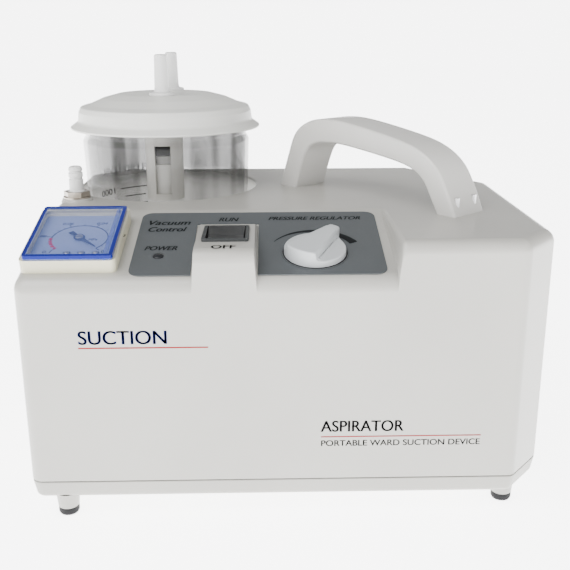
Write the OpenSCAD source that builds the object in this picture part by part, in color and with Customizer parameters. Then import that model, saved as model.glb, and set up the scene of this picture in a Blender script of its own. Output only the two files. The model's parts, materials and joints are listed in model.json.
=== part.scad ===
// Portable suction unit: a moulded housing on a tray with four feet, a lift-out collection jar with
// a float valve in its lid, a sloping control panel, and an oil-free piston pump inside.
// Millimetres, +Z up, front at -Y, origin at floor level under the middle of the body.

/* [Housing] */
// Width of the housing
body_w = 280; // [276:1:290]
// Depth of the housing
body_d = 230; // [228:1:236]
// Height of the feet under the tray
foot_h = 12; // [11:0.5:14]
// Height of the parting line between tray and upper housing
part_z = 22.5; // [22:0.5:24]
// Height of the lower front edge of the control slope
low_z = 134.7; // [134:0.1:136]
// Height of the deck
deck_z = 154.2; // [153.5:0.1:155]
// Depth of the control slope, front to back
slope_d = 78; // [77:1:80]
// Wall thickness of the mouldings
wall = 3; // [2.6:0.1:3.2]
// Radius of the outer edges
edge_r = 7; // [5:0.5:8]

/* [Collection jar] */
// Distance of the jar axis from the middle, to the left
jar_left = 77.6; // [77:0.1:78]
// Radius of the jar well at the deck
well_r = 58.8; // [58.4:0.1:59]
// Outer radius of the jar under its lid
jar_r = 54.6; // [54:0.1:55]
// Height of the top of the jar
jar_top = 199; // [198:0.5:200]
// Radius of the lid skirt
lid_r = 56.2; // [56:0.1:56.6]
// Radius of the flared rim of the lid
lid_rim_r = 61.7; // [60:0.1:62]
// Height of the flat crown of the lid
crown_z = 214.5; // [214:0.1:215]
// Height of the tops of the two hose ports
port_top = 239.5; // [236:0.5:242]

/* [Controls] */
// Radius of the regulator knob
knob_r = 16.4; // [15:0.1:16.6]
// Height of the knob grip above the slope
knob_h = 9.5; // [8:0.1:11]
// Width of the vacuum gauge
gauge_w = 48.7; // [47:0.1:49]
// Length of the vacuum gauge along the slope
gauge_l = 60; // [58:0.5:61]

/* [Handle] */
// Width of the handle band
band_w = 28; // [26:0.5:30]

/* [Pump] */
// Radius of the cylinder bore
bore_r = 18; // [17.9:0.05:18.1]
// Throw of the crank
throw = 2.5; // [2:0.1:2.5]
// Outer radius of the inner hoses
hose_r = 4; // [3.5:0.1:4.2]
// Radial running clearance
run = 0.06; // [0.04:0.01:0.08]

/* [Hidden] */
$fn = 64;
hx = body_w / 2;
hy = body_d / 2;
slope_a = atan((deck_z - low_z) / slope_d);
step_x = 56;
jar_x = -jar_left;
jar_y = 48;
jar_bottom = 23;
well_floor = 20.5;
well_draft = 0.036;
gauge_x = -112.6;
gauge_s = 8.8;
dial_x = -111;
dial_s = 35.8;
knob_x = 13.8;
knob_s = 27.5;
lamp_x = -68.6;
lamp_s = 24.7;
podium_x = [-50, -16.6];
podium_z = 150.3;
podium_d = 59;
switch_x = -33.25;
switch_y = 33.5 - hy;
rocker_z = 147.5;
rocker_tilt = 10;
nozzle_x = -127.8;
nozzle_y = -5.4;
vac_port = [-77.2, 28];
pat_port = [-75.2, 71];
port_r = 4;
feet = [[-122.2, -106.5, -138.5], [120, -98, 133], [-122, 99, -131.5], [88, 99, 103.5]];
handle_mid = [56.9, -2.1];
handle_turn = -48.1;
handle_len = 145.5;
pump_x = 62;
pump_y = -40;
crank_z = 66;
rod_len = 34;
wrist_z = crank_z + rod_len;
head_z = 123.5;
inlet_x = 0;
inlet_z = 48;
fuse_x = 30;
eps = 0.01;
corner_swell = 1.1;

// ---- shared geometry -------------------------------------------------------------------------

function unit(v) = v / norm(v);

// Half the angle at corner b between its neighbours a and c, and the unit bisector into the corner.
function half_angle(a, b, c) = acos(unit([a.x - b.x, a.y - b.y]) * unit([c.x - b.x, c.y - b.y])) / 2;
function bisector(a, b, c) = unit(unit([a.x - b.x, a.y - b.y]) + unit([c.x - b.x, c.y - b.y]));

// Corner b = [x, y, radius] as the points of its arc.
function corner_arc(a, b, c, n) =
    b[2] <= 0 ? [[b.x, b.y]] :
    let (h = half_angle(a, b, c),
         mid = [b.x, b.y] + bisector(a, b, c) * b[2] / sin(h),
         s = [b.x, b.y] + unit([a.x - b.x, a.y - b.y]) * b[2] / tan(h) - mid,
         e = [b.x, b.y] + unit([c.x - b.x, c.y - b.y]) * b[2] / tan(h) - mid,
         a0 = atan2(s.y, s.x),
         sweep = (atan2(e.y, e.x) - a0 + 540) % 360 - 180)
    [for (i = [0:n]) mid + b[2] * [cos(a0 + sweep * i / n), sin(a0 + sweep * i / n)]];

function before(p, i) = p[(i + len(p) - 1) % len(p)];
function after(p, i) = p[(i + 1) % len(p)];

// An outline of [x, y, radius] corners with each corner rounded.
function rounded(p, n = 6) = [for (i = [0:len(p) - 1]) each corner_arc(before(p, i), p[i], after(p, i), n)];

// The same convex outline moved inwards by g.
function inset(p, g) = [for (i = [0:len(p) - 1])
    let (m = bisector(before(p, i), p[i], after(p, i)),
         q = [p[i].x, p[i].y] + m * g / sin(half_angle(before(p, i), p[i], after(p, i))))
    [q.x, q.y, max(p[i][2] - g, 0)]];

function box_outline(w, d, r) = [[-w / 2, -d / 2, r], [w / 2, -d / 2, r], [w / 2, d / 2, r], [-w / 2, d / 2, r]];

// A point of the slope, s up from its front edge and h above it, in the part's frame.
function slope_point(x, s, h) = [x, -hy + s * cos(slope_a) - h * sin(slope_a),
                                 low_z + s * sin(slope_a) + h * cos(slope_a)];

// Draws children in the frame of the control slope: X across, Y up the slope, Z off its face.
module on_slope(x, s) {
    translate(slope_point(x, s, 0)) rotate([slope_a, 0, 0]) children();
}

module along_x(x0, x1) {
    translate([x0, 0, 0]) rotate([90, 0, 90]) linear_extrude(height = x1 - x0) children();
}

module along_y(y0, y1) {
    translate([0, y1, 0]) rotate([90, 0, 0]) linear_extrude(height = y1 - y0) children();
}

// A cylinder along +Y from y0 to y1 at [x, z].
module rod_y(x, z, y0, y1, r) {
    translate([x, y0, z]) rotate([-90, 0, 0]) cylinder(r = r, h = y1 - y0);
}

// A round rod from a to b.
module rod(a, b, r) {
    d = b - a;
    translate(a) rotate([0, acos(d.z / norm(d)), atan2(d.y, d.x)]) cylinder(r = r, h = norm(d), $fn = 24);
}

// A rod along a route, with slightly swollen ball corners.
module run_rod(p, r) {
    for (i = [0:len(p) - 2]) rod(p[i], p[i + 1], r);
    for (i = [1:1:len(p) - 2]) translate(p[i]) sphere(r = corner_swell * r, $fn = 24);
}

// ---- housing ---------------------------------------------------------------------------------

plan = [[-hx, -hy, edge_r], [120.4, -hy, edge_r], [hx, 23 - hy, edge_r], [hx, 47, edge_r],
        [95, hy, edge_r], [24 - hx, hy, edge_r], [-hx, hy - 24, edge_r]];
low = part_z - 20;
slope_side = [[-hy, low, 0], [hy, low, 0], [hy, deck_z, edge_r], [slope_d - hy, deck_z, 24], [-hy, low_z, edge_r]];
deck_side = [[-hy, low, 0], [hy, low, 0], [hy, deck_z, edge_r], [-hy, deck_z, edge_r]];
front_face = [[-hx, low, 0], [hx, low, 0], [hx, deck_z, edge_r], [-hx, deck_z, edge_r]];

// The closed form of the upper housing, g in from its outer skin.
module housing_form(g) {
    intersection() {
        translate([0, 0, part_z - (g > 0 ? 1 : 0)]) linear_extrude(height = deck_z)
            polygon(rounded(inset(plan, g)));
        along_y(-hy - 1, hy + 1) polygon(rounded(inset(front_face, g)));
        union() {
            along_x(step_x + g, hx) polygon(rounded(inset(deck_side, g)));
            intersection() {
                along_x(-hx, step_x + g + eps) polygon(rounded(inset(slope_side, g)));
                on_slope(0, 0) along_y(-60, body_d + 60)
                    polygon(rounded([[g - hx, -200, 0], [2 * hx, -200, 0], [2 * hx, -g, 0],
                                     [g - hx, -g, edge_r - g]]));
            }
        }
    }
}

// The jar well: a tapered cup, r in from its inner face.
module well_cup(g, z0, z1) {
    translate([jar_x, jar_y, z0])
        cylinder(r1 = well_r + g - well_draft * (deck_z - z0), r2 = well_r + g - well_draft * (deck_z - z1), h = z1 - z0);
}

// The switch podium, g in from its skin.
module podium(g) {
    along_x(podium_x[0] + g, podium_x[1] - g)
        polygon(rounded([[-hy + g, low_z - 8 - 2 * g, 0], [podium_d - hy - g, low_z - 8 - 2 * g, 0],
                         [podium_d - hy - g, podium_z - g, 1], [-hy + g, podium_z - g, 5 - g]]));
}

module screw_boss(f) {
    translate([f.x, f.y, 15]) cylinder(r = 3.7, h = 45);
    translate([f.x, f.y, part_z + 0.4]) cylinder(r = 6, h = 60 - part_z - 0.4);
    translate([min(f.x, f[2]), f.y - 1.2, part_z]) cube([abs(f[2] - f.x), 2.4, 37]);
}

module upper_housing() {
    color([0.86, 0.86, 0.84]) difference() {
        union() {
            difference() {
                union() {
                    housing_form(0);
                    podium(0);
                }
                housing_form(wall);
                podium(2.6);
            }
            well_cup(2.5, well_floor - 2.5, deck_z - edge_r / 2);
            for (f = feet) screw_boss(f);
            translate([nozzle_x, nozzle_y, deck_z - 1]) cylinder(r = 8.6, h = 2.8);
        }
        well_cup(0, well_floor, deck_z + 1);
        for (f = feet) translate([f.x, f.y, 14]) cylinder(r = 1.6, h = 40);
        translate([nozzle_x, nozzle_y, deck_z - 10]) cylinder(r = 5.1, h = 20);
        on_slope(knob_x, knob_s) translate([0, 0, -6]) cylinder(r = 6.2, h = 12);
        on_slope(lamp_x, lamp_s) translate([0, 0, -6]) cylinder(r = 2.6, h = 12);
        on_slope(dial_x, dial_s) translate([0, 0, -6]) cylinder(r = 5.1, h = 12);
        translate([switch_x - 11.3, switch_y - 14.7, low_z + 4]) cube([22.6, 29.4, 30]);
        for (p = handle_holes()) translate([p.x, p.y, deck_z - 6]) cylinder(r = 2.1, h = 12);
        translate([inlet_x - 14.2, hy - 8, inlet_z - 10.2]) cube([28.4, 16, 20.4]);
        rod_y(fuse_x, inlet_z, hy - 8, hy + 8, 6.3);
        for (i = [-4:4]) translate([pump_x + 6 * i - 6 - 1.5, hy - 8, 84]) cube([3, 16, 34]);
    }
}

module base_tray() {
    color([0.84, 0.84, 0.82]) difference() {
        union() {
            translate([0, 0, foot_h]) linear_extrude(height = 1.5) polygon(rounded(inset(plan, 1.2)));
            translate([0, 0, foot_h + 1.5]) linear_extrude(height = part_z - foot_h - 1.5) polygon(rounded(plan));
            for (f = feet) translate([f.x, f.y, 4]) cylinder(r1 = 5.4, r2 = 6.4, h = foot_h - 4 + eps);
        }
        translate([0, 0, foot_h + 2.5]) linear_extrude(height = 20) polygon(rounded(inset(plan, wall)));
        for (f = feet) translate([f.x, f.y, 3]) cylinder(r = 3.3, h = 8.4);
        for (f = feet) translate([f.x, f.y, 3]) cylinder(r = 1.7, h = 20);
        for (i = [-5:5]) translate([pump_x + 7 * i - 1.5, 40, foot_h - 1]) cube([3, 44, 5]);
    }
}

module foot_pads() {
    color([0.06, 0.06, 0.06]) for (f = feet) translate([f.x, f.y, 0]) {
        cylinder(r1 = 5, r2 = 5.6, h = 1.2);
        translate([0, 0, 1.2]) cylinder(r = 5.6, h = 2.8);
    }
}

module housing_screws() {
    color([0.75, 0.75, 0.77]) for (f = feet) translate([f.x, f.y, 8.6]) {
        cylinder(r = 3, h = 2.6);
        translate([0, 0, 2.6]) cylinder(r = 1.5, h = 26);
    }
}

// ---- handle ----------------------------------------------------------------------------------

// Corners of the band in its own plane: run from the rear-left leg, height.
handle_outline = [[0, deck_z, 0], [13.6, 194.6, 14], [48, 202, 60], [119, 189, 26], [136, 175.5, 24],
                  [145.5, deck_z, 0], [131.6, deck_z, 0], [121, 175.2, 14], [52, 186.6, 60],
                  [26, 181.8, 8], [14.8, deck_z, 0]];
handle_leg_u = [7.4, 138.5];

module in_handle_plane() {
    translate([handle_mid.x, handle_mid.y, 0]) rotate([0, 0, handle_turn]) translate([-handle_len / 2, 0, 0])
        children();
}

// The screws' places under the two legs.
function handle_holes() = [for (u = handle_leg_u, v = [-8, 8])
    let (a = u - handle_len / 2)
    [handle_mid.x + a * cos(handle_turn) - v * sin(handle_turn),
     handle_mid.y + a * sin(handle_turn) + v * cos(handle_turn)]];

module carry_handle() {
    color([0.9, 0.9, 0.88]) difference() {
        in_handle_plane() along_y(-band_w / 2, band_w / 2) polygon(rounded(handle_outline, 8));
        for (p = handle_holes()) translate([p.x, p.y, deck_z - 1]) cylinder(r = 1.75, h = 13);
    }
}

module handle_screws() {
    color([0.75, 0.75, 0.77]) for (p = handle_holes()) {
        translate([p.x, p.y, deck_z - wall - 2.2]) cylinder(r = 3.6, h = 2.1);
        translate([p.x, p.y, deck_z - wall - 0.2]) cylinder(r = 1.6, h = wall + 10);
    }
}

// ---- control slope ---------------------------------------------------------------------------

panel_x = [-82.2, 50.1];
panel_s = [5, 75.8];

module control_panel() {
    color([0.38, 0.4, 0.42]) difference() {
        on_slope((panel_x[0] + panel_x[1]) / 2, (panel_s[0] + panel_s[1]) / 2) linear_extrude(height = 0.5)
            polygon(rounded(box_outline(panel_x[1] - panel_x[0], panel_s[1] - panel_s[0], 6)));
        translate([podium_x[0] - 0.4, -hy - 5, low_z - 10])
            cube([podium_x[1] - podium_x[0] + 0.8, podium_d + 5.4, 40]);
        on_slope(knob_x, knob_s) translate([0, 0, -2]) cylinder(r = 17.4, h = 4);
        on_slope(lamp_x, lamp_s) translate([0, 0, -2]) cylinder(r = 2.9, h = 4);
    }
}

module power_lamp() {
    color([0.1, 0.16, 0.1]) on_slope(lamp_x, lamp_s) {
        translate([0, 0, -12]) cylinder(r = 2.5, h = 12);
        cylinder(r = 2.8, h = 0.8);
        translate([0, 0, 0.8]) cylinder(r1 = 2.8, r2 = 1.6, h = 0.8);
    }
}

module switch_bezel() {
    color([0.16, 0.17, 0.18]) difference() {
        union() {
            translate([switch_x, switch_y, podium_z]) linear_extrude(height = 1.4)
                polygon(rounded(box_outline(24.6, 31.4, 1.5)));
            translate([switch_x - 11.2, switch_y - 14.6, 140.5]) cube([22.4, 29.2, podium_z - 140.5 + eps]);
        }
        translate([switch_x - 10.4, switch_y - 13.6, 139]) cube([20.8, 27.2, 15]);
    }
}

// A rocker with round ends about its pivot and a shallow V on top, tipped to its off side.
module switch_rocker() {
    color([0.07, 0.07, 0.08]) translate([0, switch_y, rocker_z]) rotate([rocker_tilt, 0, 0])
        along_x(switch_x - 10.1, switch_x + 10.1) intersection() {
            circle(r = 13.3, $fn = 96);
            polygon([[-14, 5.2], [0, 3.6], [14, 5.2], [14, -4], [-14, -4]]);
        }
}

module switch_body() {
    color([0.1, 0.1, 0.1]) {
        translate([switch_x - 10.8, switch_y - 14, 120]) cube([21.6, 28, 20.5]);
        for (y = [-8, 0, 8]) translate([switch_x - 3, switch_y + y - 0.4, 113]) cube([6, 0.8, 7 + eps]);
    }
}

knob_disc = 4.8;

// The pointer ridge of the knob runs from a broad heel to a narrow tip past the disc's edge.
module regulator_knob() {
    color([0.83, 0.84, 0.85]) on_slope(knob_x, knob_s) difference() {
        union() {
            translate([0, 0, 0.7]) cylinder(r = knob_r, h = knob_disc - 0.7);
            rotate([0, 0, 53.5]) translate([0, 0, knob_disc - eps]) linear_extrude(height = knob_h - knob_disc)
                polygon(rounded([[-13.2, -9, 1.5], [19.6, -3, 1.2], [19.6, 3, 1.2], [-13.2, 9, 1.5]]));
            rotate([0, 0, 53.5]) translate([0, 0, 0.9]) linear_extrude(height = knob_disc)
                polygon(rounded([[0, -6, 0], [19.6, -3, 1.2], [19.6, 3, 1.2], [0, 6, 0]]));
        }
        translate([0, 0, -1]) cylinder(r = 3, h = 7);
    }
}

module regulator_spindle() {
    color([0.75, 0.75, 0.78]) on_slope(knob_x, knob_s) {
        translate([0, 0, -16]) cylinder(r = 3, h = 21.9);
        translate([0, 0, -22]) cylinder(r1 = 0.6, r2 = 3, h = 6);
    }
}

module regulator_body() {
    color([0.78, 0.66, 0.36]) on_slope(knob_x, knob_s) difference() {
        union() {
            translate([0, 0, -26]) cylinder(r = 10, h = 26 - wall - 0.2);
            translate([0, 0, -8]) cylinder(r = 6, h = 8);
            translate([0, 0, -32]) cylinder(r = stub_r, h = 8);
        }
        translate([0, 0, -16.3]) cylinder(r = 3 + run, h = 20);
        translate([0, 0, -24]) cylinder(r = 4.5, h = 8);
        translate([0, 0, -34]) cylinder(r = 1.4, h = 14);
    }
}

// ---- vacuum gauge ----------------------------------------------------------------------------

gauge_top = 7.3;
dial_h = 2.4;
rest_angle = -46;

module gauge_base() {
    color([0.85, 0.84, 0.78]) difference() {
        on_slope(gauge_x, gauge_s + gauge_l / 2) linear_extrude(height = gauge_top)
            polygon(rounded(box_outline(gauge_w, gauge_l, 3)));
        on_slope(gauge_x, gauge_s + gauge_l / 2 - 1.5) translate([0, 0, dial_h]) linear_extrude(height = 10)
            polygon(rounded(box_outline(gauge_w - 7, gauge_l - 9, 2)));
        on_slope(dial_x, dial_s) translate([0, 0, -1]) cylinder(r = 5.1, h = 12);
    }
}

module gauge_dial() {
    color([0.62, 0.68, 0.8]) difference() {
        on_slope(gauge_x, gauge_s + gauge_l / 2 - 1.5) translate([0, 0, dial_h]) linear_extrude(height = 0.6)
            polygon(rounded(box_outline(gauge_w - 7.4, gauge_l - 9.4, 2)));
        on_slope(dial_x, dial_s) cylinder(r = 0.7 + run, h = 8);
    }
}

module gauge_cover() {
    color([0.1, 0.3, 0.8, 0.5]) on_slope(gauge_x + 0.5, gauge_s + gauge_l / 2 - 1.7)
        translate([0, 0, gauge_top]) linear_extrude(height = 2.9)
            polygon(rounded(box_outline(gauge_w - 3.2, gauge_l - 3.2, 1.5)));
}

module gauge_screws() {
    color([0.7, 0.7, 0.72]) for (x = [-114.7, -107.3, -99.9]) on_slope(x, 20)
        translate([0, 0, dial_h + 0.6]) cylinder(r = 1.3, h = 0.7);
}

module gauge_pointer() {
    color([0.05, 0.05, 0.05]) on_slope(dial_x, dial_s) rotate([0, 0, rest_angle]) {
        translate([0, 0, dial_h - 0.3]) cylinder(r = 0.7, h = 1.8);
        translate([0, 0, dial_h + 1.4]) cylinder(r = 2.2, h = 1.4);
        translate([0, 0, dial_h + 1.6]) linear_extrude(height = 0.5)
            polygon([[-8, -2.2], [0, -1.3], [17, -0.3], [17, 0.3], [0, 1.3], [-8, 2.2]]);
    }
}

module gauge_stem() {
    color([0.78, 0.66, 0.36]) on_slope(dial_x, dial_s) {
        translate([0, 0, -16]) cylinder(r = 5, h = 16 + dial_h - 0.6);
        translate([0, 0, -24]) cylinder(r = 2.4, h = 8 + eps);
    }
}

module gauge_movement() {
    color([0.3, 0.3, 0.32]) on_slope(dial_x, dial_s) difference() {
        translate([0, 0, -12]) cylinder(r = 19, h = 12 - wall - 0.2);
        translate([0, 0, -13]) cylinder(r = 5.05, h = 20);
    }
}

// ---- jar, lid and float valve ----------------------------------------------------------------

function jar_radius(z) = jar_r - well_draft * (185 - z);

module jar_axis() {
    translate([jar_x, jar_y, 0]) children();
}

module collection_jar() {
    t = 2.2;
    color([0.85, 0.9, 0.93, 0.35]) jar_axis() rotate_extrude($fn = 96)
        polygon([[0, jar_bottom], [jar_radius(23) - 3, jar_bottom], [jar_radius(24) - 0.8, 23.9],
                 [jar_radius(26), 26.5], [jar_r, 185], [jar_r, 186.5], [52.6, 188.5], [52.6, jar_top],
                 [50.2, jar_top], [50.2, 188], [jar_r - t - 0.3, 185], [jar_radius(28) - t, 28.5],
                 [jar_radius(26) - t - 2.5, 25.6], [0, 25.6]]);
}

module jar_cushion() {
    color([0.08, 0.08, 0.08]) jar_axis() translate([0, 0, well_floor]) difference() {
        cylinder(r = 44, h = jar_bottom - well_floor - 0.1);
        translate([0, 0, -1]) cylinder(r = 30, h = 6);
    }
}

module jar_lid() {
    color([0.9, 0.9, 0.89]) difference() {
        jar_axis() rotate_extrude($fn = 96)
            polygon([[0, crown_z], [34, crown_z], [44, crown_z - 2.2], [50.5, crown_z - 5.4],
                     [54.4, 206.8], [lid_r, 203.4], [lid_r + 0.4, 197.6], [lid_r + 1.4, 195.2],
                     [lid_rim_r, 192.2], [lid_rim_r, 190.8], [lid_r + 1, 192.8], [53.4, 194],
                     [53.4, 201.5], [49, 207], [43, 209.4], [33.6, crown_z - 2.6], [0, crown_z - 2.6]]);
        for (p = [vac_port, pat_port]) translate([p.x, p.y, crown_z - 6]) cylinder(r = port_r, h = 12);
    }
}

module lid_seal() {
    color([0.1, 0.1, 0.1]) jar_axis() translate([0, 0, jar_top + 0.1]) difference() {
        cylinder(r = 52.6, h = 2.3);
        translate([0, 0, -1]) cylinder(r = 50.2, h = 6);
    }
}

// A straight hose port with a flange on the lid's crown.
module hose_port(p, bottom) {
    translate([p.x, p.y, 0]) difference() {
        union() {
            translate([0, 0, bottom]) cylinder(r = port_r, h = port_top - 1.2 - bottom);
            translate([0, 0, port_top - 1.2]) cylinder(r1 = port_r, r2 = port_r - 0.7, h = 1.2);
            translate([0, 0, crown_z]) cylinder(r = 8, h = 2);
            translate([0, 0, crown_z + 2]) cylinder(r1 = 6.4, r2 = port_r, h = 2.5);
        }
        translate([0, 0, bottom - 1]) cylinder(r = 2.6, h = port_top - bottom + 2);
    }
}

module lid_vacuum_port() {
    color([0.92, 0.92, 0.91]) hose_port(vac_port, 208.4);
}

module lid_patient_port() {
    color([0.92, 0.92, 0.91]) hose_port(pat_port, 192);
}

cage_bottom = 149;

// The slotted tube that guides the float, closed above by the valve seat.
module float_cage() {
    color([0.93, 0.93, 0.92]) translate([vac_port.x, vac_port.y, 0]) difference() {
        translate([0, 0, cage_bottom]) cylinder(r = 12, h = 208 - cage_bottom);
        translate([0, 0, cage_bottom + 2.5]) cylinder(r = 9.5, h = 53.5);
        translate([0, 0, cage_bottom - 1]) cylinder(r = 5, h = 6);
        translate([0, 0, 200]) cylinder(r = 2.6, h = 12);
        translate([-5, -15, 153]) cube([10, 30, 44]);
    }
}

module float_body() {
    color([0.95, 0.95, 0.95]) translate([vac_port.x, vac_port.y, 151.8]) cylinder(r = 8.6, h = 23.7);
}

module float_ring() {
    color([0.7, 0.73, 0.75]) translate([vac_port.x, vac_port.y, 175.5]) cylinder(r = 8.2, h = 2.6);
}

module float_seal() {
    color([0.05, 0.05, 0.05]) translate([vac_port.x, vac_port.y, 178.1]) {
        cylinder(r = 8.2, h = 4.4);
        translate([0, 0, 4.4]) cylinder(r1 = 8.2, r2 = 6, h = 1.5);
    }
}

// ---- vacuum nozzle on the deck ---------------------------------------------------------------

nozzle_foot = deck_z + 1.8;

module vacuum_nozzle() {
    color([0.92, 0.92, 0.9]) translate([nozzle_x, nozzle_y, 0]) difference() {
        rotate_extrude()
            polygon(concat([[0, 134], [2.4, 134], [2.4, 143], [5, 143], [5, nozzle_foot + 4.2], [4.2, nozzle_foot + 4.2],
                [4.2, 167.2], [3.7, 167.6], [3.7, 168.4], [4.2, 168.8], [4.2, 171.2], [3.7, 171.6],
                [3.7, 172.4], [4.2, 172.8]],
                [for (a = [0:15:75]) [1.7 + 2.5 * cos(a), 173 + 2.3 * sin(a)]], [[0, 175.3]]));
        translate([0, 0, 130]) cylinder(r = 1.4, h = 50);
    }
}

module nozzle_nut() {
    color([0.8, 0.78, 0.72]) translate([nozzle_x, nozzle_y, nozzle_foot]) difference() {
        union() {
            cylinder(r = 8.3, h = 0.8);
            translate([0, 0, 0.8]) cylinder(r = 8, h = 3.2, $fn = 6);
        }
        translate([0, 0, -1]) cylinder(r = 5.05, h = 8);
    }
}

// ---- pump and motor --------------------------------------------------------------------------

isolators = [[30, -50], [94, -50], [30, 44], [94, 44]];
plate_z = 22;
eccentric_x = pump_x + throw;

module pump_isolators() {
    color([0.12, 0.12, 0.12]) for (p = isolators) translate([p.x, p.y, foot_h + 2.5])
        cylinder(r = 6, h = plate_z - foot_h - 2.5);
}

module pump_plate() {
    color([0.7, 0.71, 0.73]) translate([pump_x, -3, plate_z]) linear_extrude(height = 2)
        polygon(rounded(box_outline(78, 124, 5)));
}

module crankcase() {
    color([0.68, 0.69, 0.7]) difference() {
        translate([pump_x - 23, pump_y - 17, plate_z + 2]) cube([46, 34, 60]);
        translate([pump_x - 19, pump_y - 13, 34]) cube([38, 26, 60]);
        translate([pump_x - 14, pump_y - 20, 50]) cube([28, 10, 30]);
        rod_y(pump_x, crank_z, pump_y + 8, pump_y + 20, 4 + run);
    }
}

module pump_cylinder() {
    color([0.72, 0.73, 0.74]) translate([pump_x, pump_y, 0]) difference() {
        union() {
            translate([0, 0, 84]) cylinder(r = bore_r + 4, h = head_z - 84);
            intersection() {
                for (i = [0:5]) translate([0, 0, 88 + 6 * i]) cylinder(r = bore_r + 8, h = 1.6);
                translate([-40, -40, 80]) cube([80, 40 + bore_r + 3.4, 50]);
            }
        }
        translate([0, 0, 80]) cylinder(r = bore_r, h = 60);
    }
}

module piston() {
    color([0.8, 0.8, 0.82]) translate([pump_x, pump_y, 0]) difference() {
        translate([0, 0, 92]) cylinder(r = bore_r - run, h = 28);
        translate([0, 0, 90]) cylinder(r = 14.5, h = 26);
        translate([0, -20, wrist_z]) rotate([-90, 0, 0]) cylinder(r = 2, h = 40);
    }
}

module wrist_pin() {
    color([0.8, 0.8, 0.82]) rod_y(pump_x, wrist_z, pump_y - 16.5, pump_y + 16.5, 2);
}

// Rides on the eccentric; its upper eye is wide enough to stay clear of the wrist pin all round.
module connecting_rod() {
    color([0.74, 0.75, 0.77]) difference() {
        union() {
            rod_y(eccentric_x, crank_z, pump_y - 4, pump_y + 4, 13);
            rod_y(eccentric_x, wrist_z, pump_y - 4, pump_y + 4, 11);
            translate([eccentric_x - 5, pump_y - 3, crank_z + 8]) cube([10, 6, rod_len - 14]);
        }
        rod_y(eccentric_x, crank_z, pump_y - 8, pump_y + 8, 9 + run);
        rod_y(eccentric_x, wrist_z, pump_y - 8, pump_y + 8, 8.6);
    }
}

module valve_plate() {
    color([0.7, 0.7, 0.73]) translate([pump_x, pump_y, head_z]) difference() {
        cylinder(r = 25, h = 2.5);
        for (x = [-8, 8]) translate([x, 0, -1]) cylinder(r = 2.5, h = 5);
    }
}

module cylinder_head() {
    color([0.66, 0.67, 0.69]) difference() {
        union() {
            translate([pump_x, pump_y, head_z + 2.5]) cylinder(r = 25, h = 13);
            for (i = [-3:3]) translate([pump_x + 5 * i - 0.9, pump_y - 15, head_z + 15]) cube([1.8, 30, 4]);
            rod([pump_x - 30, pump_y, head_z + 9], [pump_x + 30, pump_y, head_z + 9], stub_r);
        }
        for (x = [-11, 11]) translate([pump_x + x, pump_y, head_z + 1]) cylinder(r = 8, h = 11);
    }
}

module motor_stator() {
    color([0.45, 0.46, 0.48]) difference() {
        union() {
            rod_y(pump_x, crank_z, -12, 44, 36);
            for (s = [-1, 1]) translate([pump_x + 22 * s - 8, -8, plate_z + 2]) cube([16, 48, 16]);
        }
        rod_y(pump_x, crank_z, -20, 50, 21.5);
    }
}

module winding_ring(y0, y1) {
    difference() {
        rod_y(pump_x, crank_z, y0, y1, 33);
        rod_y(pump_x, crank_z, y0 - 1, y1 + 1, 23);
    }
}

module motor_windings() {
    color([0.72, 0.4, 0.2]) {
        winding_ring(-17.6, -12);
        winding_ring(44, 51);
    }
}

module motor_end_bell() {
    color([0.7, 0.71, 0.72]) difference() {
        rod_y(pump_x, crank_z, 44, 56, 36);
        rod_y(pump_x, crank_z, 43, 52, 33.2);
        rod_y(pump_x, crank_z, 50, 60, 4 + run);
    }
}

module motor_rotor() {
    color([0.6, 0.61, 0.63]) {
        rod_y(pump_x, crank_z, -8, 40, 21);
        rod_y(pump_x, crank_z, pump_y + 4, 76, 4);
        rod_y(eccentric_x, crank_z, pump_y - 4.6, pump_y + 5, 9);
        rod_y(eccentric_x, crank_z, pump_y - 6.1, pump_y - 4.5, 11);
    }
}

module cooling_fan() {
    color([0.15, 0.15, 0.16]) difference() {
        union() {
            rod_y(pump_x, crank_z, 60, 72, 9);
            for (a = [0:60:300]) translate([pump_x, 66, crank_z]) rotate([0, a, 0]) translate([8, 0, 0])
                rotate([35, 0, 0]) translate([0, -5.5, -0.9]) cube([22, 11, 1.8]);
        }
        rod_y(pump_x, crank_z, 58, 74, 4);
    }
}

// ---- pipework --------------------------------------------------------------------------------

stub_r = 2.4;
socket_r = stub_r + 0.3;
manifold = [0, -34, 108];

module vacuum_manifold() {
    color([0.2, 0.2, 0.21]) {
        rod(manifold - [14, 0, 0], manifold + [14, 0, 0], 6);
        rod(manifold - [20, 0, 0], manifold + [20, 0, 0], stub_r);
        for (x = [-8, 8]) rod(manifold + [x, 0, 0], manifold + [x, -12, 0], stub_r);
    }
}

module exhaust_silencer() {
    color([0.2, 0.2, 0.21]) translate([114, -72, 0]) {
        translate([0, 0, foot_h + 2.5]) cylinder(r = 13, h = 70);
        translate([0, 0, foot_h + 72.5 - eps]) cylinder(r = stub_r, h = 8);
    }
}

// A hose along a route, its two ends bored to the depths given to slip over their stubs.
module hose(p, d0, d1) {
    n = len(p) - 1;
    u0 = unit(p[1] - p[0]);
    u1 = unit(p[n - 1] - p[n]);
    difference() {
        run_rod(p, hose_r);
        rod(p[0] - u0, p[0] + d0 * u0, socket_r);
        rod(p[n] - u1, p[n] + d1 * u1, socket_r);
    }
}

module nozzle_hose() {
    color([0.8, 0.82, 0.8]) hose([[nozzle_x, nozzle_y, 141], [nozzle_x, nozzle_y, 108],
        [nozzle_x, manifold.y, 108], manifold - [14.2, 0, 0]], 7.3, 6.1);
}

module gauge_hose() {
    turn = slope_point(dial_x, dial_s, -40);
    color([0.8, 0.82, 0.8]) hose([slope_point(dial_x, dial_s, -16.2), turn,
        [manifold.x - 8, turn.y, manifold.z], manifold + [-8, -6.2, 0]], 8.1, 6.1);
}

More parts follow.
